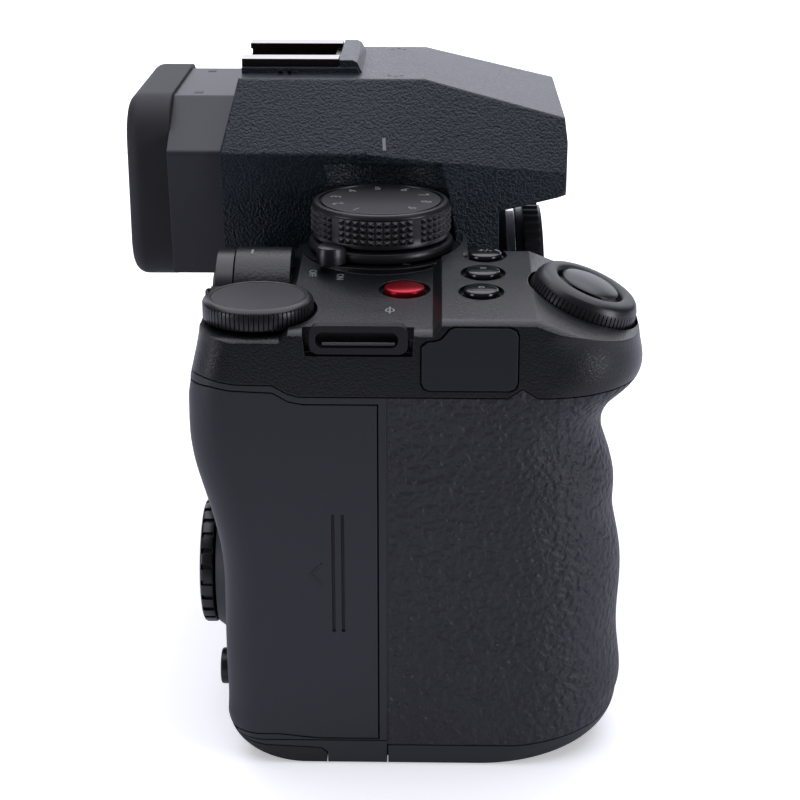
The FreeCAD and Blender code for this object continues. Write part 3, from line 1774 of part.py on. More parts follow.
# Strap lugs
def strap_lug():
    plate = rounded_slab(
        0,
        lug_front_y,
        -lug_height / 2,
        lug_thickness,
        lug_rear_y,
        lug_height / 2,
        1.4,
        at(1, 0, 0),
    )
    slot_low = lug_front_y + 1.45
    slot = rounded_slab(
        -1,
        slot_low,
        -lug_slot_height / 2,
        4,
        lug_rear_y - 0.9,
        lug_slot_height / 2,
        1.1,
        at(1, 0, 0),
    )
    return plate.cut(slot)


right_lug = strap_lug()
right_lug.translate(at(grip_x + 0.25, 0, lug_z))
left_lug = strap_lug()
left_lug.translate(at(side_x - 1.7, 0, 65.8))
save("strap_lugs", Part.makeCompound([right_lug, left_lug]))

# Inside: chassis, sensor stages, curtain, board, slots and sockets
chassis = box(-40.0, chassis_y0, chassis_low_z, 44.0, chassis_y1, chassis_high_z)
chassis = chassis.cut(box(-12.0, -FAR, mount_z - 8, 12.0, FAR, mount_z + 8))
for side in (-1, 1):
    post_in = side * 29.0
    post_out = side * 32.0
    chassis = chassis.fuse(
        box(min(post_in, post_out), curtain_y + 0.8, 8.0, max(post_in, post_out), chassis_y0 + 0.1, 60.0),
    )
    rail_in = side * (curtain_half + 0.15)
    chassis = chassis.fuse(
        box(min(rail_in, post_out), curtain_y - 0.6, 8.0, max(rail_in, post_out), curtain_y + 0.9, 60.0),
    )
bay = box(battery_x1 + 0.3, -12.0, 4.0, battery_x1 + 1.6, battery_y1 + 1.2, 58.0)
chassis = chassis.fuse(bay).fuse(box(battery_x1 + 1.0, chassis_y0, 10.0, -39.0, chassis_y1, 56.0))
for x in (-34.0, 38.0):
    for z in (10.0, 60.0):
        chassis = chassis.fuse(rod(1.8, board_y0 - chassis_y1, at(x, chassis_y1, z), REAR))
        chassis = chassis.fuse(rod(1.8, chassis_y0 - front_y - wall, at(x, chassis_y0, z), FRONT))
save("chassis", chassis)

stage = box(-26.5, sensor_y + 2.4, mount_z - 19.0, 26.5, chassis_y0 - stage_gap, mount_z + 19.0)
stage = stage.cut(box(-15, -FAR, mount_z - 9, 15, FAR, mount_z + 9))
save("sensor_stage", stage)
sensor = box(
    -sensor_width / 2 - 3,
    sensor_y,
    mount_z - sensor_height / 2 - 3,
    sensor_width / 2 + 3,
    sensor_y + 1.9,
    mount_z + sensor_height / 2 + 3,
)
sensor = sensor.fuse(
    box(
        -sensor_width / 2,
        sensor_y - 0.6,
        mount_z - sensor_height / 2,
        sensor_width / 2,
        sensor_y,
        mount_z + sensor_height / 2,
    ),
)
save("image_sensor", sensor)

curtain = box(
    -curtain_half,
    curtain_y,
    4.0,
    curtain_half,
    curtain_y + curtain_thickness,
    mount_z - sensor_height / 2 - 1.0,
)
save("shutter_curtain", curtain)

board = box(-36.0, board_y0, 6.0, 46.0, board_y0 + board_thickness, 64.0)
chips = [(-20.0, 40.0, 14.0), (4.0, 36.0, 18.0), (28.0, 44.0, 11.0), (20.0, 18.0, 12.0), (-22.0, 16.0, 9.0)]
for x, z, size in chips:
    board = board.fuse(
        box(
            x - size / 2,
            board_y0 + board_thickness,
            z - size / 2,
            x + size / 2,
            board_y0 + board_thickness + 1.2,
            z + size / 2,
        ),
    )
save("main_board", board)

slot_x0 = -67.5
slot_x1 = -37.5
slot_z0 = 17.0
slots = box(slot_x0, slot_block_y0, slot_z0, slot_x1, slot_block_y1, slot_z0 + card_width + 2.4)
for y in (slot_block_y0 + 0.5, slot_block_y0 + 3.3):
    slots = slots.cut(
        box(slot_x0 - 1, y, slot_z0 + 1.2, slot_x1 - 1.5, y + card_thickness, slot_z0 + 1.2 + card_width),
    )
save("card_slots", slots)

socket_plate_x = side_x - 8.6
sockets = box(socket_plate_x, 4.0, 12.0, socket_plate_x + 1.4, 15.0, 56.0)
sockets = sockets.fuse(box(46.0, board_y0, 12.0, socket_plate_x, board_y0 + board_thickness, 56.0))
for z in (42.2, 52.8):
    jack = tube(2.9, 1.8, 3.9, at(socket_plate_x + 1.4, 9.9, z), at(1, 0, 0))
    sockets = sockets.fuse(jack)
for z, height in ((16.5, 7.0), (27.5, 9.4)):
    shell_box = box(socket_plate_x + 1.4, 7.8, z - height / 2, socket_plate_x + 5.2, 11.9, z + height / 2)
    mouth = box(
        socket_plate_x + 1.6,
        8.4,
        z - height / 2 + 0.6,
        socket_plate_x + 7,
        11.3,
        z + height / 2 - 0.6,
    )
    sockets = sockets.fuse(shell_box.cut(mouth))
save("port_sockets", sockets)
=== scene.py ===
import math

import bmesh
import bpy
from mathutils import Matrix, Vector


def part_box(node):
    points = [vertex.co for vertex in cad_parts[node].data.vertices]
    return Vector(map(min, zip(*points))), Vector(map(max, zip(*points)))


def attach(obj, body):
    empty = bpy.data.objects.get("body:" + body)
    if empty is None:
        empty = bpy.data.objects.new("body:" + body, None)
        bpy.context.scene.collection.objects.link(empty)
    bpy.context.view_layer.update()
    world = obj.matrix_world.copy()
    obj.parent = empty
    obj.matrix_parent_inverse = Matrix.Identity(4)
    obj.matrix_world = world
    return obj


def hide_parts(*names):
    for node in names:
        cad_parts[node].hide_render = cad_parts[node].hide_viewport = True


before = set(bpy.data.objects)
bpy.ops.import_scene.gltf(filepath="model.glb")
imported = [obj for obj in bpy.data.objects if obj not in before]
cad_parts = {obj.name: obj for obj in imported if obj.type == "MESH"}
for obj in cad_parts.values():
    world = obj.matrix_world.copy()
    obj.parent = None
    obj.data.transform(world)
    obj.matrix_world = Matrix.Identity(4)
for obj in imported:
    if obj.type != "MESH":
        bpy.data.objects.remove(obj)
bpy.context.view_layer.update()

MM = 0.001
UP = Vector((0, 0, 1))
REAR = Vector((0, 1, 0))
FRONT = Vector((0, -1, 0))
RIGHT = Vector((1, 0, 0))
DOWN = Vector((0, 0, -1))


# Camera, where the photograph was taken from
CAMERA_PLACE = Vector((-339.1, -6.73, 160.4)) * MM
CAMERA_PAN = math.radians(1.12)
CAMERA_TILT = math.radians(20.06)
FOCAL_PIXELS = 1871.0
IMAGE_PIXELS = 800.0
SENSOR_MM = 36.0


def add_camera():
    camera = bpy.data.cameras.new("camera")
    holder = bpy.data.objects.new("camera", camera)
    bpy.context.scene.collection.objects.link(holder)
    sight = Vector((
        math.cos(CAMERA_PAN) * math.cos(CAMERA_TILT),
        math.sin(CAMERA_PAN) * math.cos(CAMERA_TILT),
        -math.sin(CAMERA_TILT),
    ))
    holder.location = CAMERA_PLACE
    holder.rotation_mode = "QUATERNION"
    holder.rotation_quaternion = sight.to_track_quat("-Z", "Y")
    camera.sensor_width = SENSOR_MM
    camera.lens = SENSOR_MM * FOCAL_PIXELS / IMAGE_PIXELS
    camera.clip_start = 0.01
    bpy.context.scene.camera = holder


# Shader node helpers
def node(tree, kind, values=None, **settings):
    made = tree.nodes.new(kind)
    for key, value in settings.items():
        setattr(made, key, value)
    for key, value in (values or {}).items():
        made.inputs[key].default_value = value
    return made


def group_tree(name, inputs, outputs):
    tree = bpy.data.node_groups.new(name, "ShaderNodeTree")
    for label, kind, value in inputs:
        socket = tree.interface.new_socket(label, in_out="INPUT", socket_type=kind)
        socket.default_value = value
    for label, kind in outputs:
        tree.interface.new_socket(label, in_out="OUTPUT", socket_type=kind)
    start = tree.nodes.new("NodeGroupInput")
    end = tree.nodes.new("NodeGroupOutput")
    return tree, start, end


FLOAT = "NodeSocketFloat"
COLOR = "NodeSocketColor"


def maths(tree, operation, a, b):
    made = tree.nodes.new("ShaderNodeMath")
    made.operation = operation
    for index, value in enumerate((a, b)):
        if isinstance(value, (int, float)):
            made.inputs[index].default_value = value
        else:
            tree.links.new(value, made.inputs[index])
    return made.outputs[0]


def build_fine_grain():
    tree, start, end = group_tree(
        "fine grain",
        [("Scale", FLOAT, 1500.0)],
        [("Height", FLOAT), ("Mask", FLOAT)],
    )
    place = node(tree, "ShaderNodeTexCoord")
    cells = node(tree, "ShaderNodeTexVoronoi", {"Smoothness": 0.7}, feature="SMOOTH_F1")
    blobs = node(tree, "ShaderNodeTexNoise", {"Detail": 2.0, "Roughness": 0.55})
    tree.links.new(place.outputs["Object"], cells.inputs["Vector"])
    tree.links.new(place.outputs["Object"], blobs.inputs["Vector"])
    tree.links.new(start.outputs["Scale"], cells.inputs["Scale"])
    tree.links.new(maths(tree, "MULTIPLY", start.outputs["Scale"], 0.8), blobs.inputs["Scale"])
    lands = node(
        tree, "ShaderNodeMapRange", {"From Min": 0.36, "From Max": 0.6}, interpolation_type="SMOOTHSTEP",
    )
    tree.links.new(blobs.outputs["Fac"], lands.inputs["Value"])
    dimple = maths(tree, "MULTIPLY", maths(tree, "SUBTRACT", 1.0, cells.outputs["Distance"]), 0.4)
    height = maths(tree, "ADD", dimple, maths(tree, "MULTIPLY", lands.outputs["Result"], 0.45))
    tree.links.new(height, end.inputs["Height"])
    tree.links.new(blobs.outputs["Fac"], end.inputs["Mask"])
    return tree


def build_pebble():
    tree, start, end = group_tree(
        "leather pebble",
        [("Scale", FLOAT, 700.0)],
        [("Height", FLOAT), ("Mask", FLOAT)],
    )
    place = node(tree, "ShaderNodeTexCoord")
    warp = node(tree, "ShaderNodeTexNoise", {"Scale": 420.0, "Detail": 2.0})
    bend = node(tree, "ShaderNodeVectorMath", operation="MULTIPLY_ADD")
    bend.inputs[1].default_value = (0.0012, 0.0012, 0.0012)
    tree.links.new(place.outputs["Object"], warp.inputs["Vector"])
    tree.links.new(warp.outputs["Color"], bend.inputs[0])
    tree.links.new(place.outputs["Object"], bend.inputs[2])
    cells = node(tree, "ShaderNodeTexVoronoi", {"Smoothness": 0.9}, feature="SMOOTH_F1")
    swell = node(tree, "ShaderNodeTexNoise", {"Scale": 900.0, "Detail": 2.0, "Roughness": 0.5})
    fine = node(tree, "ShaderNodeTexNoise", {"Scale": 3200.0, "Detail": 2.0})
    for texture in (cells, swell):
        tree.links.new(bend.outputs[0], texture.inputs["Vector"])
    tree.links.new(start.outputs["Scale"], cells.inputs["Scale"])
    tree.links.new(place.outputs["Object"], fine.inputs["Vector"])
    dome = maths(tree, "SUBTRACT", 1.0, cells.outputs["Distance"])
    body = maths(tree, "ADD", dome, maths(tree, "MULTIPLY", swell.outputs["Fac"], 1.1))
    height = maths(tree, "ADD", body, maths(tree, "MULTIPLY", fine.outputs["Fac"], 0.1))
    tree.links.new(height, end.inputs["Height"])
    tree.links.new(swell.outputs["Fac"], end.inputs["Mask"])
    return tree


def build_soft_variation():
    tree, start, end = group_tree(
        "soft variation",
        [("Base", COLOR, (0.05, 0.05, 0.05, 1)), ("Other", COLOR, (0.06, 0.06, 0.06, 1)),
         ("Scale", FLOAT, 40.0), ("Rough Low", FLOAT, 0.4), ("Rough High", FLOAT, 0.5),
         ("Mask", FLOAT, 0.5)],
        [("Color", COLOR), ("Roughness", FLOAT)],
    )
    place = node(tree, "ShaderNodeTexCoord")
    cloud = node(tree, "ShaderNodeTexNoise", {"Detail": 4.0, "Roughness": 0.6})
    tree.links.new(place.outputs["Object"], cloud.inputs["Vector"])
    tree.links.new(start.outputs["Scale"], cloud.inputs["Scale"])
    clouded = maths(tree, "MULTIPLY", cloud.outputs["Fac"], 0.6)
    share = maths(tree, "ADD", clouded, maths(tree, "MULTIPLY", start.outputs["Mask"], 0.4))
    tint = node(tree, "ShaderNodeMix", data_type="RGBA")
    tree.links.new(share, tint.inputs["Factor"])
    tree.links.new(start.outputs["Base"], tint.inputs[6])
    tree.links.new(start.outputs["Other"], tint.inputs[7])
    rough = node(tree, "ShaderNodeMapRange")
    tree.links.new(share, rough.inputs["Value"])
    tree.links.new(start.outputs["Rough Low"], rough.inputs["To Min"])
    tree.links.new(start.outputs["Rough High"], rough.inputs["To Max"])
    tree.links.new(tint.outputs[2], end.inputs["Color"])
    tree.links.new(rough.outputs["Result"], end.inputs["Roughness"])
    return tree


def build_brush_lines():
    tree, start, end = group_tree(
        "brush lines",
        [("Scale", FLOAT, 4000.0)],
        [("Height", FLOAT), ("Mask", FLOAT)],
    )
    place = node(tree, "ShaderNodeTexCoord")
    stretch = node(tree, "ShaderNodeMapping", {"Scale": (1.0, 0.03, 1.0)})
    lines = node(tree, "ShaderNodeTexNoise", {"Detail": 3.0, "Roughness": 0.7})
    tree.links.new(place.outputs["Object"], stretch.inputs["Vector"])
    tree.links.new(stretch.outputs["Vector"], lines.inputs["Vector"])
    tree.links.new(start.outputs["Scale"], lines.inputs["Scale"])
    tree.links.new(lines.outputs["Fac"], end.inputs["Height"])
    tree.links.new(lines.outputs["Fac"], end.inputs["Mask"])
    return tree


FINE_GRAIN = build_fine_grain()
PEBBLE = build_pebble()
VARIATION = build_soft_variation()
BRUSH = build_brush_lines()


def finish(name, base, other, rough, texture, scale, depth_mm, edge_mm=0.25, cloud=40.0, shader=None):
    """A surface: two colours, a roughness range, a texture with its scale and real depth, and soft edges."""
    material = bpy.data.materials.new(name)
    material.use_nodes = True
    tree = material.node_tree
    principled = tree.nodes["Principled BSDF"]
    relief = node(tree, "ShaderNodeGroup", node_tree=texture)
    relief.inputs["Scale"].default_value = scale
    skin = node(tree, "ShaderNodeGroup", node_tree=VARIATION)
    skin.inputs["Base"].default_value = (*base, 1)
    skin.inputs["Other"].default_value = (*other, 1)
    skin.inputs["Scale"].default_value = cloud
    skin.inputs["Rough Low"].default_value = rough[0]
    skin.inputs["Rough High"].default_value = rough[1]
    tree.links.new(relief.outputs["Mask"], skin.inputs["Mask"])
    tree.links.new(skin.outputs["Color"], principled.inputs["Base Color"])
    tree.links.new(skin.outputs["Roughness"], principled.inputs["Roughness"])
    bump = node(tree, "ShaderNodeBump", {"Distance": depth_mm * MM, "Strength": 1.0})
    tree.links.new(relief.outputs["Height"], bump.inputs["Height"])
    if edge_mm:
        edge = node(tree, "ShaderNodeBevel", {"Radius": edge_mm * MM}, samples=6)
        tree.links.new(edge.outputs["Normal"], bump.inputs["Normal"])
    tree.links.new(bump.outputs["Normal"], principled.inputs["Normal"])
    for key, value in (shader or {}).items():
        principled.inputs[key].default_value = value
    return material


SOFT = {"Specular IOR Level": 0.35}
METAL = {"Metallic": 1.0}
PAINT = finish(
    "textured body paint", (0.0025, 0.0028, 0.0035), (0.005, 0.0055, 0.0065), (0.26, 0.36),
    FINE_GRAIN, 3200.0, 0.035, shader={"Specular IOR Level": 0.42},
)
HOOD_PAINT = finish(
    "orange peel hood paint", (0.0035, 0.0085, 0.012), (0.0065, 0.0145, 0.0205), (0.26, 0.38),
    FINE_GRAIN, 2700.0, 0.17, edge_mm=0.35, shader={"Specular IOR Level": 0.32},
)
COVER = finish(
    "satin cover", (0.024, 0.024, 0.029), (0.03, 0.03, 0.036), (0.4, 0.48),
    FINE_GRAIN, 5200.0, 0.006, cloud=25.0, shader=SOFT,
)
LEATHER = finish(
    "pebbled grip skin", (0.016, 0.016, 0.0195), (0.031, 0.03, 0.036), (0.4, 0.52),
    PEBBLE, 900.0, 0.5, edge_mm=0.3, cloud=60.0, shader=SOFT,
)
RUBBER = finish(
    "matt rubber", (0.016, 0.016, 0.019), (0.021, 0.021, 0.025), (0.58, 0.7),
    FINE_GRAIN, 4200.0, 0.012, edge_mm=0.4, shader=SOFT,
)
REMOTE = finish(
    "blue grey rubber", (0.01, 0.011, 0.0135), (0.014, 0.015, 0.0185), (0.46, 0.54),
    FINE_GRAIN, 4200.0, 0.01, edge_mm=0.3, shader=SOFT,
)
DIAL = finish(
    "dial plastic", (0.0055, 0.0055, 0.0065), (0.009, 0.009, 0.0105), (0.28, 0.38),
    FINE_GRAIN, 5200.0, 0.006, edge_mm=0.1,
)
# A rougher, lighter copy of the dial plastic for dial tops: the satin roughness is their own finish, the
# lighter colour is painted light from above.
SATIN_LIT_DIAL_TOP = finish(
    "satin dial top with painted light", (0.012, 0.012, 0.014), (0.016, 0.016, 0.019), (0.4, 0.48),
    FINE_GRAIN, 5200.0, 0.008, edge_mm=0.1,
)
GLOSS = finish(
    "gloss button", (0.004, 0.004, 0.005), (0.006, 0.006, 0.007), (0.1, 0.18),
    FINE_GRAIN, 5200.0, 0.003, edge_mm=0.2,
)
RED = finish(
    "red anodised", (0.3, 0.004, 0.012), (0.46, 0.01, 0.026), (0.24, 0.34),
    BRUSH, 2600.0, 0.008, edge_mm=0.2, shader={"Metallic": 0.85},
)
CHROME = finish(
    "polished chrome", (0.72, 0.71, 0.69), (0.8, 0.79, 0.78), (0.1, 0.2),
    BRUSH, 3000.0, 0.002, edge_mm=0.2, shader=METAL,
)
STEEL = finish(
    "brushed steel", (0.42, 0.41, 0.39), (0.6, 0.58, 0.55), (0.26, 0.4),
    BRUSH, 3600.0, 0.006, edge_mm=0.15, shader=METAL,
)
# A darker, duller copy of the steel, for the bars in the strap slots.
DULL_DARK_STEEL = finish(
    "dull dark steel", (0.11, 0.11, 0.11), (0.2, 0.195, 0.19), (0.36, 0.5),
    BRUSH, 3600.0, 0.01, edge_mm=0.1, cloud=900.0, shader=METAL,
)
BRASS = finish(
    "gold plating", (0.78, 0.52, 0.2), (0.86, 0.62, 0.28), (0.18, 0.3),
    FINE_GRAIN, 5200.0, 0.003, edge_mm=0.1, shader=METAL,
)
# A darker copy of the steel: painted shade for the shoe's faces under its rail tops.
PAINTED_SHADE_STEEL = finish(
    "steel with painted shade", (0.035, 0.03, 0.024), (0.07, 0.06, 0.05), (0.2, 0.34),
    BRUSH, 3600.0, 0.006, edge_mm=0.1, shader=METAL,
)
CASTING = finish(
    "cast alloy", (0.2, 0.2, 0.21), (0.28, 0.28, 0.29), (0.42, 0.6),
    FINE_GRAIN, 1500.0, 0.05, edge_mm=0.3, shader={"Metallic": 0.8},
)
BOARD = finish(
    "solder mask", (0.01, 0.07, 0.035), (0.016, 0.1, 0.05), (0.3, 0.42),
    FINE_GRAIN, 2000.0, 0.02, edge_mm=0.1,
)
# Blackened foil for the shutter curtain; the same dark finish is painted shade on flat patches that stand for
# holes.
FOIL_AND_HOLE_SHADE = finish(
    "blackened foil and painted hole shade", (0.004, 0.004, 0.004), (0.007, 0.007, 0.007), (0.4, 0.55),
    BRUSH, 2600.0, 0.004, edge_mm=0.05, shader={"Metallic": 0.4},
)
GLASS = finish(
    "coated glass", (0.004, 0.005, 0.007), (0.006, 0.007, 0.01), (0.03, 0.07),
    FINE_GRAIN, 900.0, 0.0004, edge_mm=0.15, shader={"Coat Weight": 0.6},
)
INK = finish(
    "grey lettering paint", (0.16, 0.16, 0.165), (0.22, 0.22, 0.225), (0.5, 0.6),
    FINE_GRAIN, 5200.0, 0.004, edge_mm=0.0,
)

NODE_FINISHES = {
    "finder_housing": HOOD_PAINT,
    "grip_skin": LEATHER,
    "body_skin": LEATHER,
    "front_case": PAINT,
    "rear_case": COVER,
    "top_cover": PAINT,
    "base_plate": COVER,
    "case_screws": STEEL,
    "tripod_bush": BRASS,
    "card_door": COVER,
    "card_door_arm": COVER,
    "coupler_cover": RUBBER,
    "remote_cover": REMOTE,
    "upper_port_cover": RUBBER,
    "lower_port_cover": RUBBER,
    "battery_door": COVER,
    "battery_latch": DIAL,
    "battery": COVER,
    "accessory_shoe": STEEL,
    "shoe_contacts": BRASS,
    "eyepiece_block": COVER,
    "eyepiece_lens": GLASS,
    "eyecup": RUBBER,
    "finder_display": GLASS,
    "diopter_dial": DIAL,
    "lens_mount": CHROME,
    "mount_contacts": BRASS,
    "lens_button": DIAL,
    "lock_pin": CHROME,
    "body_cap": DIAL,
    "mode_dial": DIAL,
    "power_lever": DIAL,
    "rear_dial": DIAL,
    "front_dial": DIAL,
    "shutter_button": GLOSS,
    "drive_dial": DIAL,
    "top_button_1": GLOSS,
    "top_button_2": GLOSS,
    "top_button_3": GLOSS,
    "record_button": RED,
    "back_button": DIAL,
    "play_button": DIAL,
    "quick_button": DIAL,
    "focus_lever": DIAL,
    "focus_button": DIAL,
    "control_wheel": DIAL,
    "set_button": DIAL,
    "stick_gimbal": STEEL,
    "joystick": RUBBER,
    "monitor_shell": COVER,
    "monitor_glass": GLASS,
    "monitor_arm": COVER,
    "strap_lugs": DIAL,
    "chassis": CASTING,
    "sensor_stage": CASTING,
    "image_sensor": GLASS,
    "shutter_curtain": FOIL_AND_HOLE_SHADE,
    "main_board": BOARD,
    "card_slots": STEEL,
    "port_sockets": STEEL,
}


def paint(piece, material):
    piece.data.materials.clear()
    piece.data.materials.append(material)


def dress_nodes():
    """Every node gets its finish, and the shoe's faces below its rails' upper faces get darker steel as
    painted shade.
    """
    for name, material in NODE_FINISHES.items():
        paint(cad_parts[name], material)
    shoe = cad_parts["accessory_shoe"]
    shoe.data.materials.append(PAINTED_SHADE_STEEL)
    rail_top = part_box("accessory_shoe")[1][2]
    unshaded_depth = 0.2 * MM
    # Faces lower than the rail tops by more than this take the darker steel as painted shade.
    for polygon in shoe.data.polygons:
        if (shoe.matrix_world @ polygon.center).z < rail_top - unshaded_depth:
            polygon.material_index = 1


# Heights below are millimetres above the part's datum, and the base plane lies this far under it
LIFT = 1.4

BODY = "camera_body"


def spot(x, y, z):
    return Vector((x, y, z + LIFT)) * MM


# Drawing in edit mode
def close_edit():
    active = bpy.context.view_layer.objects.active
    if active and active.mode != "OBJECT":
        bpy.ops.object.mode_set(mode="OBJECT")
    bpy.ops.object.select_all(action="DESELECT")


def only(piece):
    close_edit()
    piece.select_set(True)
    bpy.context.view_layer.objects.active = piece


def start_plane(name):
    """A small square on the ground, open for drawing and chosen all over."""
    close_edit()
    bpy.ops.mesh.primitive_plane_add(size=MM)
    piece = bpy.context.active_object
    piece.name = name
    bpy.ops.object.mode_set(mode="EDIT")
    bpy.ops.mesh.select_mode(type="VERT")
    bpy.ops.mesh.select_all(action="SELECT")
    return piece


def start_point(name, x, y, z):
    """A mesh of one chosen point, open for drawing."""
    piece = start_plane(name)
    bpy.ops.mesh.merge(type="CENTER")
    bpy.ops.transform.translate(value=(x * MM, y * MM, z * MM))
    return piece


def draw_on(points):
    """Draw on from the chosen point through the rest of the points."""
    for before, after in zip(points, points[1:]):
        step = [(b - a) * MM for a, b in zip(before, after)]
        bpy.ops.mesh.extrude_region_move(TRANSFORM_OT_translate={"value": step})


def choose(kind, test):
    """Select the open mesh's faces, edges or points that pass the test."""
    bpy.ops.mesh.select_mode(type=kind)
    bpy.ops.mesh.select_all(action="DESELECT")
    shape = bmesh.from_edit_mesh(bpy.context.active_object.data)
    for part in {"VERT": shape.verts, "EDGE": shape.edges, "FACE": shape.faces}[kind]:
        if test(part):
            part.select_set(True)
    bmesh.update_edit_mesh(bpy.context.active_object.data)


def close_shell():
    """Merge the doubled points of the open mesh and turn its faces outwards."""
    bpy.ops.mesh.select_all(action="SELECT")
    bpy.ops.mesh.remove_doubles(threshold=0.000001)
    bpy.ops.mesh.normals_make_consistent(inside=False)


def turned(name, profile, steps):
    """A piece turned about its upright axis from a drawn line of radius and height."""
    piece = start_point(name, profile[0][0], 0, profile[0][1])
    draw_on([(radius, 0, height) for radius, height in profile])
    bpy.ops.mesh.select_all(action="SELECT")
    bpy.ops.mesh.spin(steps=steps, angle=2 * math.pi, center=(0, 0, 0), axis=(0, 0, 1))
    close_shell()
    return piece


def side_band(low, high, least_radius, count, passes):
    """A test for a turned piece's side faces: their height, their radius, and their turn, from 0 to count."""
    def test(face):
        middle = face.calc_center_median()
        if not low * MM < middle.z < high * MM or abs(face.normal.z) > 0.8:
            return False
        if math.hypot(middle.x, middle.y) < least_radius * MM:
            return False
        return passes(math.atan2(middle.y, middle.x) / (2 * math.pi) % 1.0 * count)

    return test


def sink_grooves(low, high, least_radius, count, share, depth):
    """Sink even grooves into a turned piece's side, each as wide as its share of one step around."""
    choose("FACE", side_band(low, high, least_radius, count, lambda turn: turn % 1.0 < share))
    bpy.ops.mesh.extrude_region_shrink_fatten(TRANSFORM_OT_shrink_fatten={"value": -depth * MM})


def raise_face(thickness):
    """Raise the chosen flat face into a closed piece."""
    bpy.ops.mesh.extrude_region_move(TRANSFORM_OT_translate={"value": (0, 0, thickness * MM)})
    bpy.ops.mesh.select_all(action="SELECT")
    bpy.ops.mesh.normals_make_consistent(inside=False)


def soften_top(thickness, soften):
    choose("EDGE", lambda e: min(v.co.z for v in e.verts) > thickness * MM * 0.9)
    bpy.ops.mesh.bevel(offset=soften * MM, segments=2, affect="EDGES")


def plate(name, width, height, thickness, corner=0.0, soften=0.0):
    """A flat piece with round corners and a softened upper edge, lying on the ground."""
    piece = start_plane(name)
    bpy.ops.transform.resize(value=(width, height, 1))
    raise_face(thickness)
    if corner:
        choose("EDGE", lambda e: abs(e.verts[0].co.z - e.verts[1].co.z) > thickness * MM * 0.5)
        bpy.ops.mesh.bevel(offset=corner * MM, segments=4, affect="EDGES")
    if soften:
        soften_top(thickness, soften)
    return piece


def slab(name, outline, thickness, soften=0.0):
    """A flat piece with a drawn outline."""
    piece = start_point(name, outline[0][0], outline[0][1], 0)
    draw_on([(x, y, 0) for x, y in outline])
    bpy.ops.mesh.select_all(action="SELECT")
    bpy.ops.mesh.edge_face_add()
    raise_face(thickness)
    if soften:
        soften_top(thickness, soften)
    return piece


LETTER_THICKNESS = 0.03


def lettering(name, words, size):
    close_edit()
    bpy.ops.object.text_add(location=(0, 0, 0))
    piece = bpy.context.active_object
    piece.name = name
    piece.data.body = words
    piece.data.size = size * MM
    piece.data.align_x = "CENTER"
    piece.data.align_y = "CENTER"
    piece.data.extrude = LETTER_THICKNESS * MM
    piece.data.resolution_u = 3
    bpy.ops.object.convert(target="MESH")
    bpy.ops.object.mode_set(mode="EDIT")
    bpy.ops.mesh.select_mode(type="VERT")
    close_shell()
    return piece


# Putting a drawn piece in its place
def copy_of(piece, name):
    only(piece)
    bpy.ops.object.duplicate()
    made = bpy.context.active_object
    made.name = name
    return made


def join_all(pieces, name):
    close_edit()
    for piece in pieces:
        piece.select_set(True)
    bpy.context.view_layer.objects.active = pieces[0]
    bpy.ops.object.join()
    pieces[0].name = name
    return pieces[0]


def standing(x, y, z, axis=UP, spin=0.0):
    """The place of a piece made upright at the origin: its foot, its axis and a turn about it."""
    turn = UP.rotation_difference(axis) @ Matrix.Rotation(math.radians(spin), 3, "Z").to_quaternion()
    return Matrix.Translation(spot(x, y, z)) @ turn.to_matrix().to_4x4()


def lying_on(carrier, start, towards, top, proud=0.0):
    """The place of a flat mark on a carrier's surface, met from a point along a direction."""
    hit, touch, normal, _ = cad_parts[carrier].ray_cast(start, towards)
    if not hit:
        raise RuntimeError("nothing of " + carrier + " lies there")
    across = top.cross(normal).normalized()
    up = normal.cross(across)
    turn = Matrix((across, up, normal)).transposed()
    return Matrix.Translation(touch + normal * proud * MM) @ turn.to_4x4()


def put(piece, place):
    """Move a piece and write its place into its mesh."""
    only(piece)
    piece.matrix_world = place
    bpy.ops.object.transform_apply(location=True, rotation=True, scale=True)


def settle(piece, place, body, material, stands_for=(), also=(), smooth=35):
    """Give a finished shape its finishes, put it in its place, smooth it and let it ride."""
    only(piece)
    paint(piece, material)
    for other, test in also:
        piece.data.materials.append(other)
        for polygon in piece.data.polygons:
            if test(polygon):
                polygon.material_index = len(piece.data.materials) - 1
    put(piece, place)
    bpy.ops.object.shade_smooth_by_angle(angle=math.radians(smooth))
    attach(piece, body)
    if stands_for:
        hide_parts(*stands_for)
    return piece


# Dials and buttons on the top
MODE_DIAL = (-36.0, 2.35)
REAR_DIAL = (-64.0, 20.5)
DRIVE_DIAL = (42.0, 4.0)


def satin_lit_top(height, radius):
    """The satin finish for a dial's faces above a height and inside a radius, lighter in colour as painted
    light from above.
    """
    def test(polygon):
        middle = polygon.center
        return middle.z > height * MM and math.hypot(middle.x, middle.y) < radius * MM

    return [(SATIN_LIT_DIAL_TOP, test)]


def number_dial(dial, centre, height, radius, size, count, first_turn, step):
    """Plain numbers around a dial's top, each with its foot towards the middle."""
    marks = []
    for index in range(count):
        turn = first_turn - index * step
        out = Vector((math.cos(math.radians(turn)), math.sin(math.radians(turn)), 0)) * radius
        mark = lettering(dial + "_number", str(index + 1), size)
        put(mark, standing(centre[0] + out.x, centre[1] + out.y, height, UP, turn - 90))
        marks.append(mark)
    settle(join_all(marks, dial + "_numbers"), Matrix(), dial, INK)


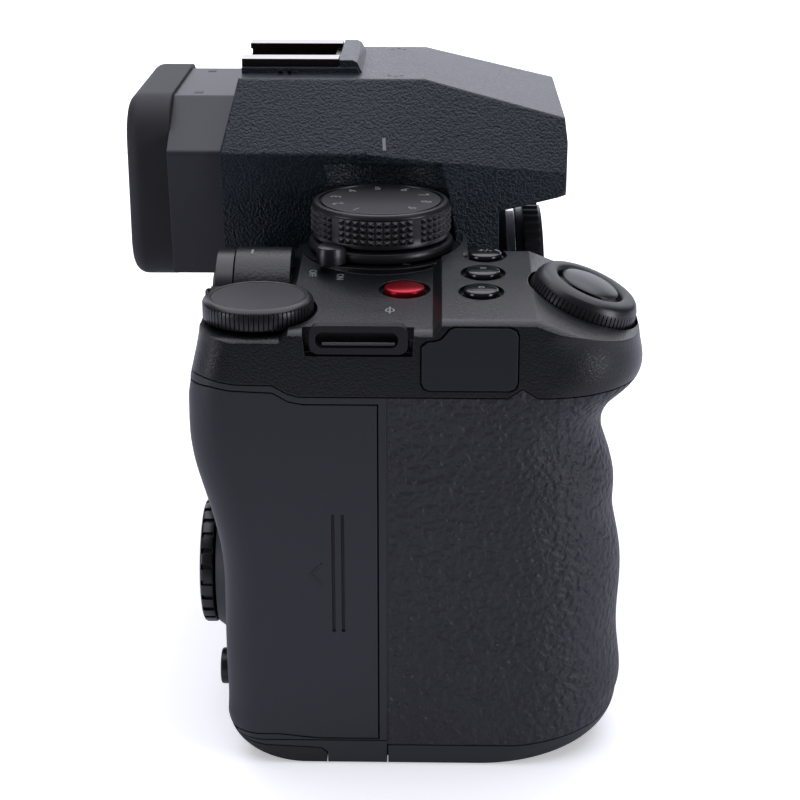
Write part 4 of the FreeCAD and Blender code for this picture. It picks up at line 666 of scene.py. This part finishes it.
def build_mode_dial():
    """Small pyramids cover the side in five groups, with one smooth column after each."""
    columns, group = 55, 11
    first_row, row_height = 78.75, 1.03
    rows = [first_row + row_height * index for index in range(5)]
    profile = [(0, 69.6), (2.95, 69.6), (2.95, 77.95), (11.15, 77.95), (11.4, 78.15), (11.4, 78.6)]
    profile += [(11.35, height) for height in rows]
    profile += [(11.45, 83.0), (11.35, 83.35), (11.05, 83.7), (10.8, 83.78), (10.45, 83.78)]
    profile += [(10.35, 83.4), (10.0, 83.4), (9.9, 83.72), (9.6, 83.76), (0, 83.76)]
    dial = turned("mode_dial_cap", profile, steps=columns)
    in_group = side_band(rows[0], rows[-1], 11.0, columns, lambda turn: int(turn) % group < group - 1)
    choose("FACE", in_group)
    bpy.ops.mesh.inset(thickness=0.09 * MM, use_individual=True)
    bpy.ops.mesh.poke(offset=0.42 * MM)
    place = standing(*MODE_DIAL, 0)
    top = satin_lit_top(height=83.7, radius=9.8)
    settle(dial, place, "mode_dial", DIAL, ["mode_dial"], top, smooth=25)
    number_dial("mode_dial", MODE_DIAL, 83.77, radius=7.6, size=2.6, count=9, first_turn=150, step=36)


def build_power_lever():
    """A ring under the mode dial, with one tab that shows where the switch stands."""
    foot, top, tab_turn = 75.85, 77.55, 143
    profile = [
        (3.1, foot), (11.6, foot), (11.9, 76.0), (12.0, 76.3), (12.0, 77.1), (11.8, 77.4), (11.4, top),
        (3.1, top), (3.1, foot),
    ]
    ring = turned("power_lever_ring", profile, steps=120)
    settle(ring, standing(*MODE_DIAL, 0), "power_lever", DIAL, ["power_lever"])
    outline = [
        (11.95, -2.3), (13.2, -2.4), (14.4, -2.0), (15.2, -1.3), (15.55, 0), (15.2, 1.3), (14.4, 2.0),
        (13.2, 2.4), (11.95, 2.3),
    ]
    tab = slab("power_lever_tab", outline, thickness=2.9, soften=0.7)
    place = standing(*MODE_DIAL, foot, UP, tab_turn)
    settle(tab, place, "power_lever", DIAL, ["power_lever"])


def build_rear_dial():
    profile = [
        (0, 67.2), (1.95, 67.2), (1.95, 72.15), (8.2, 72.15), (8.45, 72.3), (8.58, 72.5), (8.58, 74.7),
        (8.45, 75.0), (8.1, 75.3), (7.75, 75.52), (7.5, 75.56), (7.3, 75.5), (7.2, 75.36), (0, 75.36),
    ]
    dial = turned("rear_dial_cap", profile, steps=288)
    sink_grooves(low=72.2, high=75.1, least_radius=7.9, count=72, share=0.3, depth=0.35)
    place = standing(*REAR_DIAL, 0)
    top = satin_lit_top(height=75.3, radius=7.25)
    settle(dial, place, "rear_dial", DIAL, ["rear_dial"], top)


# The shutter button and the front dial share an axis that tilts forwards and leans to the grip side
RELEASE_TILT = math.radians(21.0)
RELEASE_LEAN = math.radians(5.0)
RELEASE_AXIS = Vector((
    -math.sin(RELEASE_LEAN) * math.cos(RELEASE_TILT),
    -math.sin(RELEASE_TILT),
    math.cos(RELEASE_LEAN) * math.cos(RELEASE_TILT),
))
RELEASE_TOP = Vector((-56.0, -31.2, 75.4))
FRONT_DIAL_HEIGHT = 4.6
RELEASE = standing(*(RELEASE_TOP - RELEASE_AXIS * FRONT_DIAL_HEIGHT), RELEASE_AXIS)


def build_front_dial():
    profile = [
        (5.3, 0.12), (8.75, 0.12), (8.88, 0.3), (8.88, 1.2), (8.5, 3.1), (8.35, 3.35), (8.1, 3.9),
        (7.7, 4.3), (7.2, 4.5), (6.2, 4.58), (5.8, 4.5), (5.5, 4.2), (5.3, 3.6), (5.3, 0.12),
    ]
    dial = turned("front_dial_ring", profile, steps=288)
    sink_grooves(low=0.5, high=3.2, least_radius=7.9, count=72, share=0.3, depth=0.3)
    top = satin_lit_top(height=4.2, radius=8.88)
    settle(dial, RELEASE, "front_dial", DIAL, ["front_dial"], top)


def build_shutter_button():
    profile = [
        (0, -5.95), (2.35, -5.95), (2.35, 4.34), (4.6, 4.34), (4.72, 4.4), (4.72, 4.46), (4.55, 4.6),
        (4.1, 4.78), (3.4, 4.95), (2.5, 5.1), (1.5, 5.2), (0.6, 5.235), (0, 5.24),
    ]
    button = turned("shutter_button_cap", profile, steps=96)
    settle(button, RELEASE, "shutter_button", DIAL, ["shutter_button"], smooth=60)


BUTTON_STEM = 3.9
BUTTON_RISE = 0.72

# A button's shoulder and its sign lie these depths under the top of its node
SHOULDER_DEPTH = 0.74
SIGN_DEPTH = 0.03


def domed_button(name, radius):
    """A round button whose dome rises from a shoulder."""
    shoulder = 0.35
    profile = [(0, -BUTTON_STEM), (radius, -BUTTON_STEM), (radius, -0.05)]
    profile += [
        (radius * math.cos(turn), BUTTON_RISE * (shoulder + (1 - shoulder) * math.sin(turn)))
        for turn in [math.radians(10 * step) for step in range(1, 9)]
    ]
    profile.append((0, BUTTON_RISE))
    return turned(name, profile, steps=64)


def button_top(name):
    """The middle of a button's node and the height of its top."""
    low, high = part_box(name)
    return (low[0] + high[0]) / 2 / MM, (low[1] + high[1]) / 2 / MM, high[2] / MM - LIFT


def build_top_buttons():
    first = domed_button("top_button_cap_1", 2.7)
    caps = [first] + [copy_of(first, "top_button_cap_" + str(index)) for index in (2, 3)]
    signs = ("+/-", "=", "o")
    for index, cap in enumerate(caps):
        name = "top_button_" + str(index + 1)
        x, y, top = button_top(name)
        settle(cap, standing(x, y, top - SHOULDER_DEPTH), name, GLOSS, [name], smooth=60)
        sign = lettering(name + "_sign", signs[index], size=2.0)
        settle(sign, standing(x, y, top - SIGN_DEPTH, UP, -90), name, INK)
    red = domed_button("record_button_cap", 3.2)
    x, y, top = button_top("record_button")
    place = standing(x, y, top - SHOULDER_DEPTH)
    settle(red, place, "record_button", RED, ["record_button"], smooth=60)


def build_drive_dial():
    profile = [
        (0, 66.1), (2.95, 66.1), (2.95, 72.4), (10.6, 72.4), (10.9, 72.6), (10.95, 72.9), (10.95, 77.4),
        (10.7, 78.1), (10.3, 78.7), (9.9, 78.95), (9.5, 78.95), (9.4, 78.6), (9.1, 78.6), (9.0, 78.9),
        (0, 78.92),
    ]
    dial = turned("drive_dial_cap", profile, steps=176)
    sink_grooves(low=72.95, high=77.6, least_radius=10.2, count=44, share=0.3, depth=0.4)
    place = standing(*DRIVE_DIAL, 0)
    top = satin_lit_top(height=78.8, radius=9.05)
    settle(dial, place, "drive_dial", DIAL, ["drive_dial"], top)
    number_dial("drive_dial", DRIVE_DIAL, 78.93, radius=6.6, size=2.4, count=6, first_turn=90, step=60)


# Controls on the rear
WHEEL = (-48.6, 29.6, 23.7)
STICK = (-34.6, 29.5, 55.2)


def build_control_wheel():
    profile = [
        (5.65, 0.02), (10.1, 0.02), (10.4, 0.2), (10.48, 0.5), (10.48, 1.9), (10.3, 2.2), (9.9, 2.38),
        (9.2, 2.38), (8.6, 2.0), (7.9, 1.5), (6.8, 1.25), (6.0, 1.35), (5.65, 1.2), (5.65, 0.02),
    ]
    wheel = turned("control_wheel_ring", profile, steps=144)
    sink_grooves(low=0.1, high=2.2, least_radius=10.0, count=24, share=0.34, depth=0.45)
    settle(wheel, standing(*WHEEL, REAR), "control_wheel", DIAL, ["control_wheel"])


def build_diopter_dial():
    """The dial's sizes follow its node, with grooves around its rim."""
    low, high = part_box("diopter_dial")
    radius = (high[1] - low[1]) / MM / 2 - 0.02
    middle_y = (high[1] + low[1]) / MM / 2
    middle_z = (high[2] + low[2]) / MM / 2 - LIFT
    reach = (high[0] - low[0]) / MM
    rim_foot = reach - 2.2
    rim_top = reach - 0.05
    cup = reach - 0.3
    profile = [
        (0, 0.02), (1.4, 0.02), (1.4, rim_foot), (radius - 0.3, rim_foot), (radius, reach - 2.0),
        (radius, reach - 0.4), (radius - 0.35, rim_top), (radius - 1.2, rim_top), (radius - 1.4, cup),
        (0, cup),
    ]
    dial = turned("diopter_dial_cap", profile, steps=120)
    sink_grooves(low=reach - 2.1, high=reach - 0.3, least_radius=radius - 0.4, count=30, share=0.3, depth=0.3)
    place = standing(low[0] / MM, middle_y, middle_z, RIGHT)
    settle(dial, place, "diopter_dial", DIAL, ["diopter_dial"])


def build_joystick():
    """The cap of the stick has a grid of small points to hold the thumb."""
    profile = [
        (0, -0.4), (3.35, -0.4), (3.55, -0.2), (3.55, 0.2), (3.3, 0.5), (2.6, 0.42), (1.3, 0.3), (0, 0.26),
    ]
    cap = turned("joystick_cap", profile, steps=32)
    choose("FACE", lambda f: f.normal.z > 0.8 and f.calc_center_median().z > 0.2 * MM)
    bpy.ops.mesh.subdivide(number_cuts=1)
    bpy.ops.mesh.inset(thickness=0.06 * MM, use_individual=True)
    bpy.ops.mesh.extrude_region_shrink_fatten(TRANSFORM_OT_shrink_fatten={"value": 0.12 * MM})
    settle(cap, standing(*STICK, REAR), "joystick", RUBBER)


# A mark lies where a line from well outside the part first meets its carrier
ABOVE = 120.0
BEFORE = -90.0
BEHIND = 60.0
BESIDE = -90.0
MARK_THICKNESS = 0.04
WORD_SIZE = 1.7
FILM_PLANE_MARK = (-64.4, 0.2, ABOVE)


def mark_bar(name, carrier, start, towards, top, width, height):
    bar = plate(name, width, height, MARK_THICKNESS)
    settle(bar, lying_on(carrier, start, towards, top), BODY, INK)


def mark_words(name, words, x, y):
    """Words on the top cover, read from behind."""
    place = lying_on("top_cover", spot(x, y, ABOVE), DOWN, FRONT)
    settle(lettering(name, words, WORD_SIZE), place, BODY, INK)


def build_marks():
    mark_words("off_mark", "OFF", -48.6, 13.1)
    mark_words("on_mark", "ON", -50.2, 8.6)
    mark_bar("record_mark", "top_cover", spot(-46.2, -2.0, ABOVE), DOWN, RIGHT, width=1.2, height=0.45)
    mark_bar("film_plane_line", "top_cover", spot(*FILM_PLANE_MARK), DOWN, RIGHT, width=0.22, height=2.8)
    ring_profile = [(0.55, 0), (0.78, 0), (0.78, MARK_THICKNESS), (0.55, MARK_THICKNESS), (0.55, 0)]
    ring = turned("film_plane_ring", ring_profile, steps=32)
    settle(ring, lying_on("top_cover", spot(*FILM_PLANE_MARK), DOWN, RIGHT), BODY, INK)
    mark_bar("dial_index_mark", "finder_housing", spot(BESIDE, 2.1, 90.7), RIGHT, UP, width=0.55, height=2.4)
    mark_bar("focus_lever_tick", "top_cover", spot(-45.5, 23.0, ABOVE), DOWN, FRONT, width=1.5, height=0.35)


def build_door_chevron():
    outline = [(1.7, -1.72), (1.45, -1.98), (-0.45, 0), (1.45, 1.98), (1.7, 1.72), (0, 0)]
    arrow = slab("door_chevron", outline, thickness=0.09)
    place = lying_on("card_door", spot(BESIDE, 12.2, 32.8), RIGHT, UP)
    settle(arrow, place, "card_door", COVER)


# Finder
FINDER_AXIS_Z = 82.0
BEZEL_BACK_Y = 37.4
BEZEL_THICKNESS = 0.5


def build_finder_hole_shades():
    """Two flat dark patches of painted shade stand for small holes on top of the eyepiece block."""
    for index, x in enumerate((-10.5, 10.5)):
        hole_shade = plate("finder_hole_shade_" + str(index + 1), width=1.5, height=1.8, thickness=0.05, corner=0.2)
        place = lying_on("eyepiece_block", spot(x, 35.2, ABOVE), DOWN, RIGHT)
        settle(hole_shade, place, BODY, FOIL_AND_HOLE_SHADE)


def build_eyepiece_front():
    """A dark frame fills the finder window around a domed glass."""
    window_width, window_height, window_corner = 27.8, 18.8, 3.0
    bezel = plate("eyepiece_bezel", window_width, window_height, BEZEL_THICKNESS, window_corner, 0.15)
    settle(bezel, standing(0, BEZEL_BACK_Y, FINDER_AXIS_Z, REAR), BODY, RUBBER)
    profile = [
        (0, 0), (8.9, 0), (8.9, 0.12), (8.6, 0.3), (7.6, 0.55), (6, 0.78), (4, 0.96), (2, 1.06), (0, 1.1),
    ]
    glass = turned("eyepiece_glass", profile, steps=96)
    place = standing(0, BEZEL_BACK_Y + BEZEL_THICKNESS, FINDER_AXIS_Z, REAR)
    settle(glass, place, BODY, GLASS, smooth=60)


# Strap lugs, mount and small parts
def build_lug_bars():
    """A steel bar lines the lower half of each strap slot."""
    radius, half_length, middle_y = 0.28, 5.5, 4.7
    profile = [(0, -half_length), (radius, -half_length), (radius, half_length), (0, half_length)]
    for name, x, z in (("right_lug_bar", -72.6, 70.55), ("left_lug_bar", 59.9, 65.0)):
        bar = turned(name, profile, steps=24)
        settle(bar, standing(x, middle_y, z, REAR), BODY, DULL_DARK_STEEL)


MOUNT_AXIS_Z = 42.0
MOUNT_FACE_Y = -21.2
MOUNT_SCREW_RADIUS = 29.2
MOUNT_SCREWS = 6


def in_cross(face):
    """True for a face of a screw's top that lies in one of the four arms of its cross."""
    middle = face.calc_center_median()
    turn = math.atan2(middle.y, middle.x)
    off_arm = min(abs(turn - quarter * math.pi / 2) for quarter in range(-2, 3))
    radius = math.hypot(middle.x, middle.y)
    return middle.z > 0.1 * MM and off_arm < 0.2 and 0.25 * MM < radius < 0.7 * MM


def build_cross_screws():
    """Six small cross screws hold the mount ring."""
    profile = [(0, -0.3), (1.0, -0.3), (1.0, 0.02), (0.85, 0.14), (0.6, 0.19), (0.2, 0.22), (0, 0.22)]
    first = turned("cross_screw_1", profile, steps=32)
    choose("FACE", in_cross)
    bpy.ops.mesh.extrude_region_shrink_fatten(TRANSFORM_OT_shrink_fatten={"value": -0.18 * MM})
    copies = [copy_of(first, "cross_screw_" + str(index)) for index in range(2, MOUNT_SCREWS + 1)]
    for index, screw in enumerate([first] + copies):
        turn = math.radians(30 + 360 / MOUNT_SCREWS * index)
        x = MOUNT_SCREW_RADIUS * math.cos(turn)
        z = MOUNT_AXIS_Z + MOUNT_SCREW_RADIUS * math.sin(turn)
        settle(screw, standing(x, MOUNT_FACE_Y, z, FRONT), BODY, STEEL)


def build_focus_lamp():
    lamp = turned("focus_lamp", [(0, 0), (2.1, 0), (2.1, 0.12), (1.8, 0.3), (1.0, 0.42), (0, 0.46)], steps=48)
    place = lying_on("top_cover", spot(-30.2, BEFORE, 67.0), REAR, UP, proud=-0.2)
    settle(lamp, place, BODY, GLASS, smooth=60)


def build_index_dots():
    """A flat dot on the cap and a domed one on the mount ring."""
    flat = turned("cap_index_dot", [(0, 0), (1.0, 0), (1.0, 0.06), (0.8, 0.1), (0, 0.1)], steps=32)
    place = lying_on("body_cap", spot(0, BEFORE, 68.4), REAR, UP)
    settle(flat, place, "body_cap", INK)
    domed = turned("mount_index_dot", [(0, 0), (0.9, 0), (0.9, 0.1), (0.6, 0.3), (0, 0.36)], steps=32)
    place = lying_on("lens_mount", spot(-20.9, BEFORE, 62.9), REAR, UP, proud=-0.1)
    settle(domed, place, BODY, INK)


def sign_button(sign, button, x, z):
    settle(sign, lying_on(button, spot(x, BEHIND, z), FRONT, UP), button, INK)


def build_button_signs():
    """Plain signs on the rear buttons: a triangle, three lines and a triangle the other way."""
    thickness, line_pitch = 0.05, 0.7
    play = slab("play_sign", [(-0.8, -0.95), (0.95, 0), (-0.8, 0.95)], thickness)
    sign_button(play, "play_button", -56.5, 41.5)
    lines = []
    for index in range(3):
        line = plate("quick_sign", width=2.0, height=0.3, thickness=thickness)
        put(line, standing(0, line_pitch - line_pitch * index, -LIFT))
        lines.append(line)
    sign_button(join_all(lines, "quick_sign"), "quick_button", -41, 43.0)
    back = slab("back_sign", [(0.7, -0.9), (0.7, 0.9), (-0.8, 0)], thickness)
    sign_button(back, "back_button", -59.5, 9.2)


def build_microphone_hole_shades():
    """Flat dark discs of painted shade stand for three small holes on each side of the finder housing's top,
    one of them further out.
    """
    profile = [(0, 0), (0.35, 0), (0.35, 0.03), (0, 0.03)]
    inner_x, further_out, first_y, pitch = 13.6, 0.9, 1.5, 1.1
    for side in (-1, 1):
        for index in range(3):
            hole_shade = turned("microphone_hole_%d_%d" % (side + 2, index + 1), profile, steps=20)
            x = side * (inner_x + further_out * (index % 2))
            y = first_y - index * pitch
            place = lying_on("finder_housing", spot(x, y, ABOVE), DOWN, RIGHT)
            settle(hole_shade, place, BODY, FOIL_AND_HOLE_SHADE)


# Floor, lights and the order of work
def add_floor():
    """The floor is white to the camera. In reflections it darkens towards the camera's end of the table."""
    close_edit()
    bpy.ops.mesh.primitive_plane_add(size=8.0, location=(0, 0, 0))
    floor = bpy.context.active_object
    floor.name = "floor"
    material = bpy.data.materials.new("pale floor")
    material.use_nodes = True
    tree = material.node_tree
    principled = tree.nodes["Principled BSDF"]
    principled.inputs["Base Color"].default_value = (0.9, 0.9, 0.92, 1)
    principled.inputs["Roughness"].default_value = 0.6
    principled.inputs["Emission Color"].default_value = (1, 1, 1, 1)
    place = node(tree, "ShaderNodeTexCoord")
    reach = node(tree, "ShaderNodeVectorMath", operation="LENGTH")
    glow = node(tree, "ShaderNodeMapRange", {"From Min": 0.3, "From Max": 1.2, "To Min": 0.38, "To Max": 1.0})
    tree.links.new(place.outputs["Object"], reach.inputs[0])
    tree.links.new(reach.outputs["Value"], glow.inputs["Value"])
    tree.links.new(glow.outputs["Result"], principled.inputs["Emission Strength"])
    parts = node(tree, "ShaderNodeSeparateXYZ")
    fade = node(
        tree, "ShaderNodeMapRange", {"From Min": -0.34, "From Max": -0.14}, interpolation_type="SMOOTHSTEP",
    )
    shade = node(tree, "ShaderNodeMix", data_type="RGBA")
    shade.inputs[6].default_value = (0.1, 0.1, 0.115, 1)
    shade.inputs[7].default_value = (0.68, 0.68, 0.74, 1)
    dim = node(tree, "ShaderNodeBsdfDiffuse")
    choice = node(tree, "ShaderNodeMixShader")
    path = node(tree, "ShaderNodeLightPath")
    tree.links.new(place.outputs["Object"], parts.inputs[0])
    tree.links.new(parts.outputs["X"], fade.inputs["Value"])
    tree.links.new(fade.outputs["Result"], shade.inputs["Factor"])
    tree.links.new(shade.outputs[2], dim.inputs["Color"])
    tree.links.new(path.outputs["Is Camera Ray"], choice.inputs["Fac"])
    tree.links.new(dim.outputs[0], choice.inputs[1])
    tree.links.new(principled.outputs[0], choice.inputs[2])
    tree.links.new(choice.outputs[0], tree.nodes["Material Output"].inputs["Surface"])
    paint(floor, material)


def add_light(name, place, target, size, power, color):
    lamp = bpy.data.lights.new(name, "AREA")
    lamp.shape = "RECTANGLE"
    lamp.size = size[0]
    lamp.size_y = size[1]
    lamp.energy = power
    lamp.color = color
    holder = bpy.data.objects.new(name, lamp)
    bpy.context.scene.collection.objects.link(holder)
    holder.location = place
    holder.rotation_mode = "QUATERNION"
    holder.rotation_quaternion = (Vector(target) - Vector(place)).to_track_quat("-Z", "Y")
    holder.visible_camera = False


def add_studio():
    """The floor looks white to the camera, while the dark finishes mirror a dimmer room."""
    world = bpy.data.worlds.new("studio")
    bpy.context.scene.world = world
    world.use_nodes = True
    tree = world.node_tree
    seen = tree.nodes["Background"]
    seen.inputs["Color"].default_value = (1, 1, 1, 1)
    room = node(tree, "ShaderNodeBackground", {"Color": (0.88, 0.9, 1.0, 1), "Strength": 0.13})
    choice = node(tree, "ShaderNodeMixShader")
    path = node(tree, "ShaderNodeLightPath")
    tree.links.new(path.outputs["Is Camera Ray"], choice.inputs["Fac"])
    tree.links.new(room.outputs[0], choice.inputs[1])
    tree.links.new(seen.outputs[0], choice.inputs[2])
    tree.links.new(choice.outputs[0], tree.nodes["World Output"].inputs["Surface"])
    bpy.context.scene.view_settings.view_transform = "Standard"
    cool = (0.9, 0.9, 1.0)
    add_light("overhead", (0.55, 0.0, 1.3), (0.55, 0, 0), (2.2, 2.2), 36.0, cool)
    add_light("far wall", (1.5, 0.0, 0.5), (0, 0, 0.1), (2.4, 0.9), 10.0, cool)
    add_light("rear side", (-0.42, 0.75, 0.2), (0, 0, 0.06), (0.3, 0.35), 1.6, cool)
    add_light("lens side", (-0.42, -0.75, 0.2), (0, 0, 0.06), (0.3, 0.35), 2.6, cool)


add_camera()
dress_nodes()
build_mode_dial()
build_power_lever()
build_rear_dial()
build_front_dial()
build_shutter_button()
build_top_buttons()
build_drive_dial()
build_control_wheel()
build_diopter_dial()
build_joystick()
build_marks()
build_finder_hole_shades()
build_door_chevron()
build_eyepiece_front()
build_lug_bars()
build_cross_screws()
build_focus_lamp()
build_index_dots()
build_button_signs()
build_microphone_hole_shades()
add_floor()
add_studio()
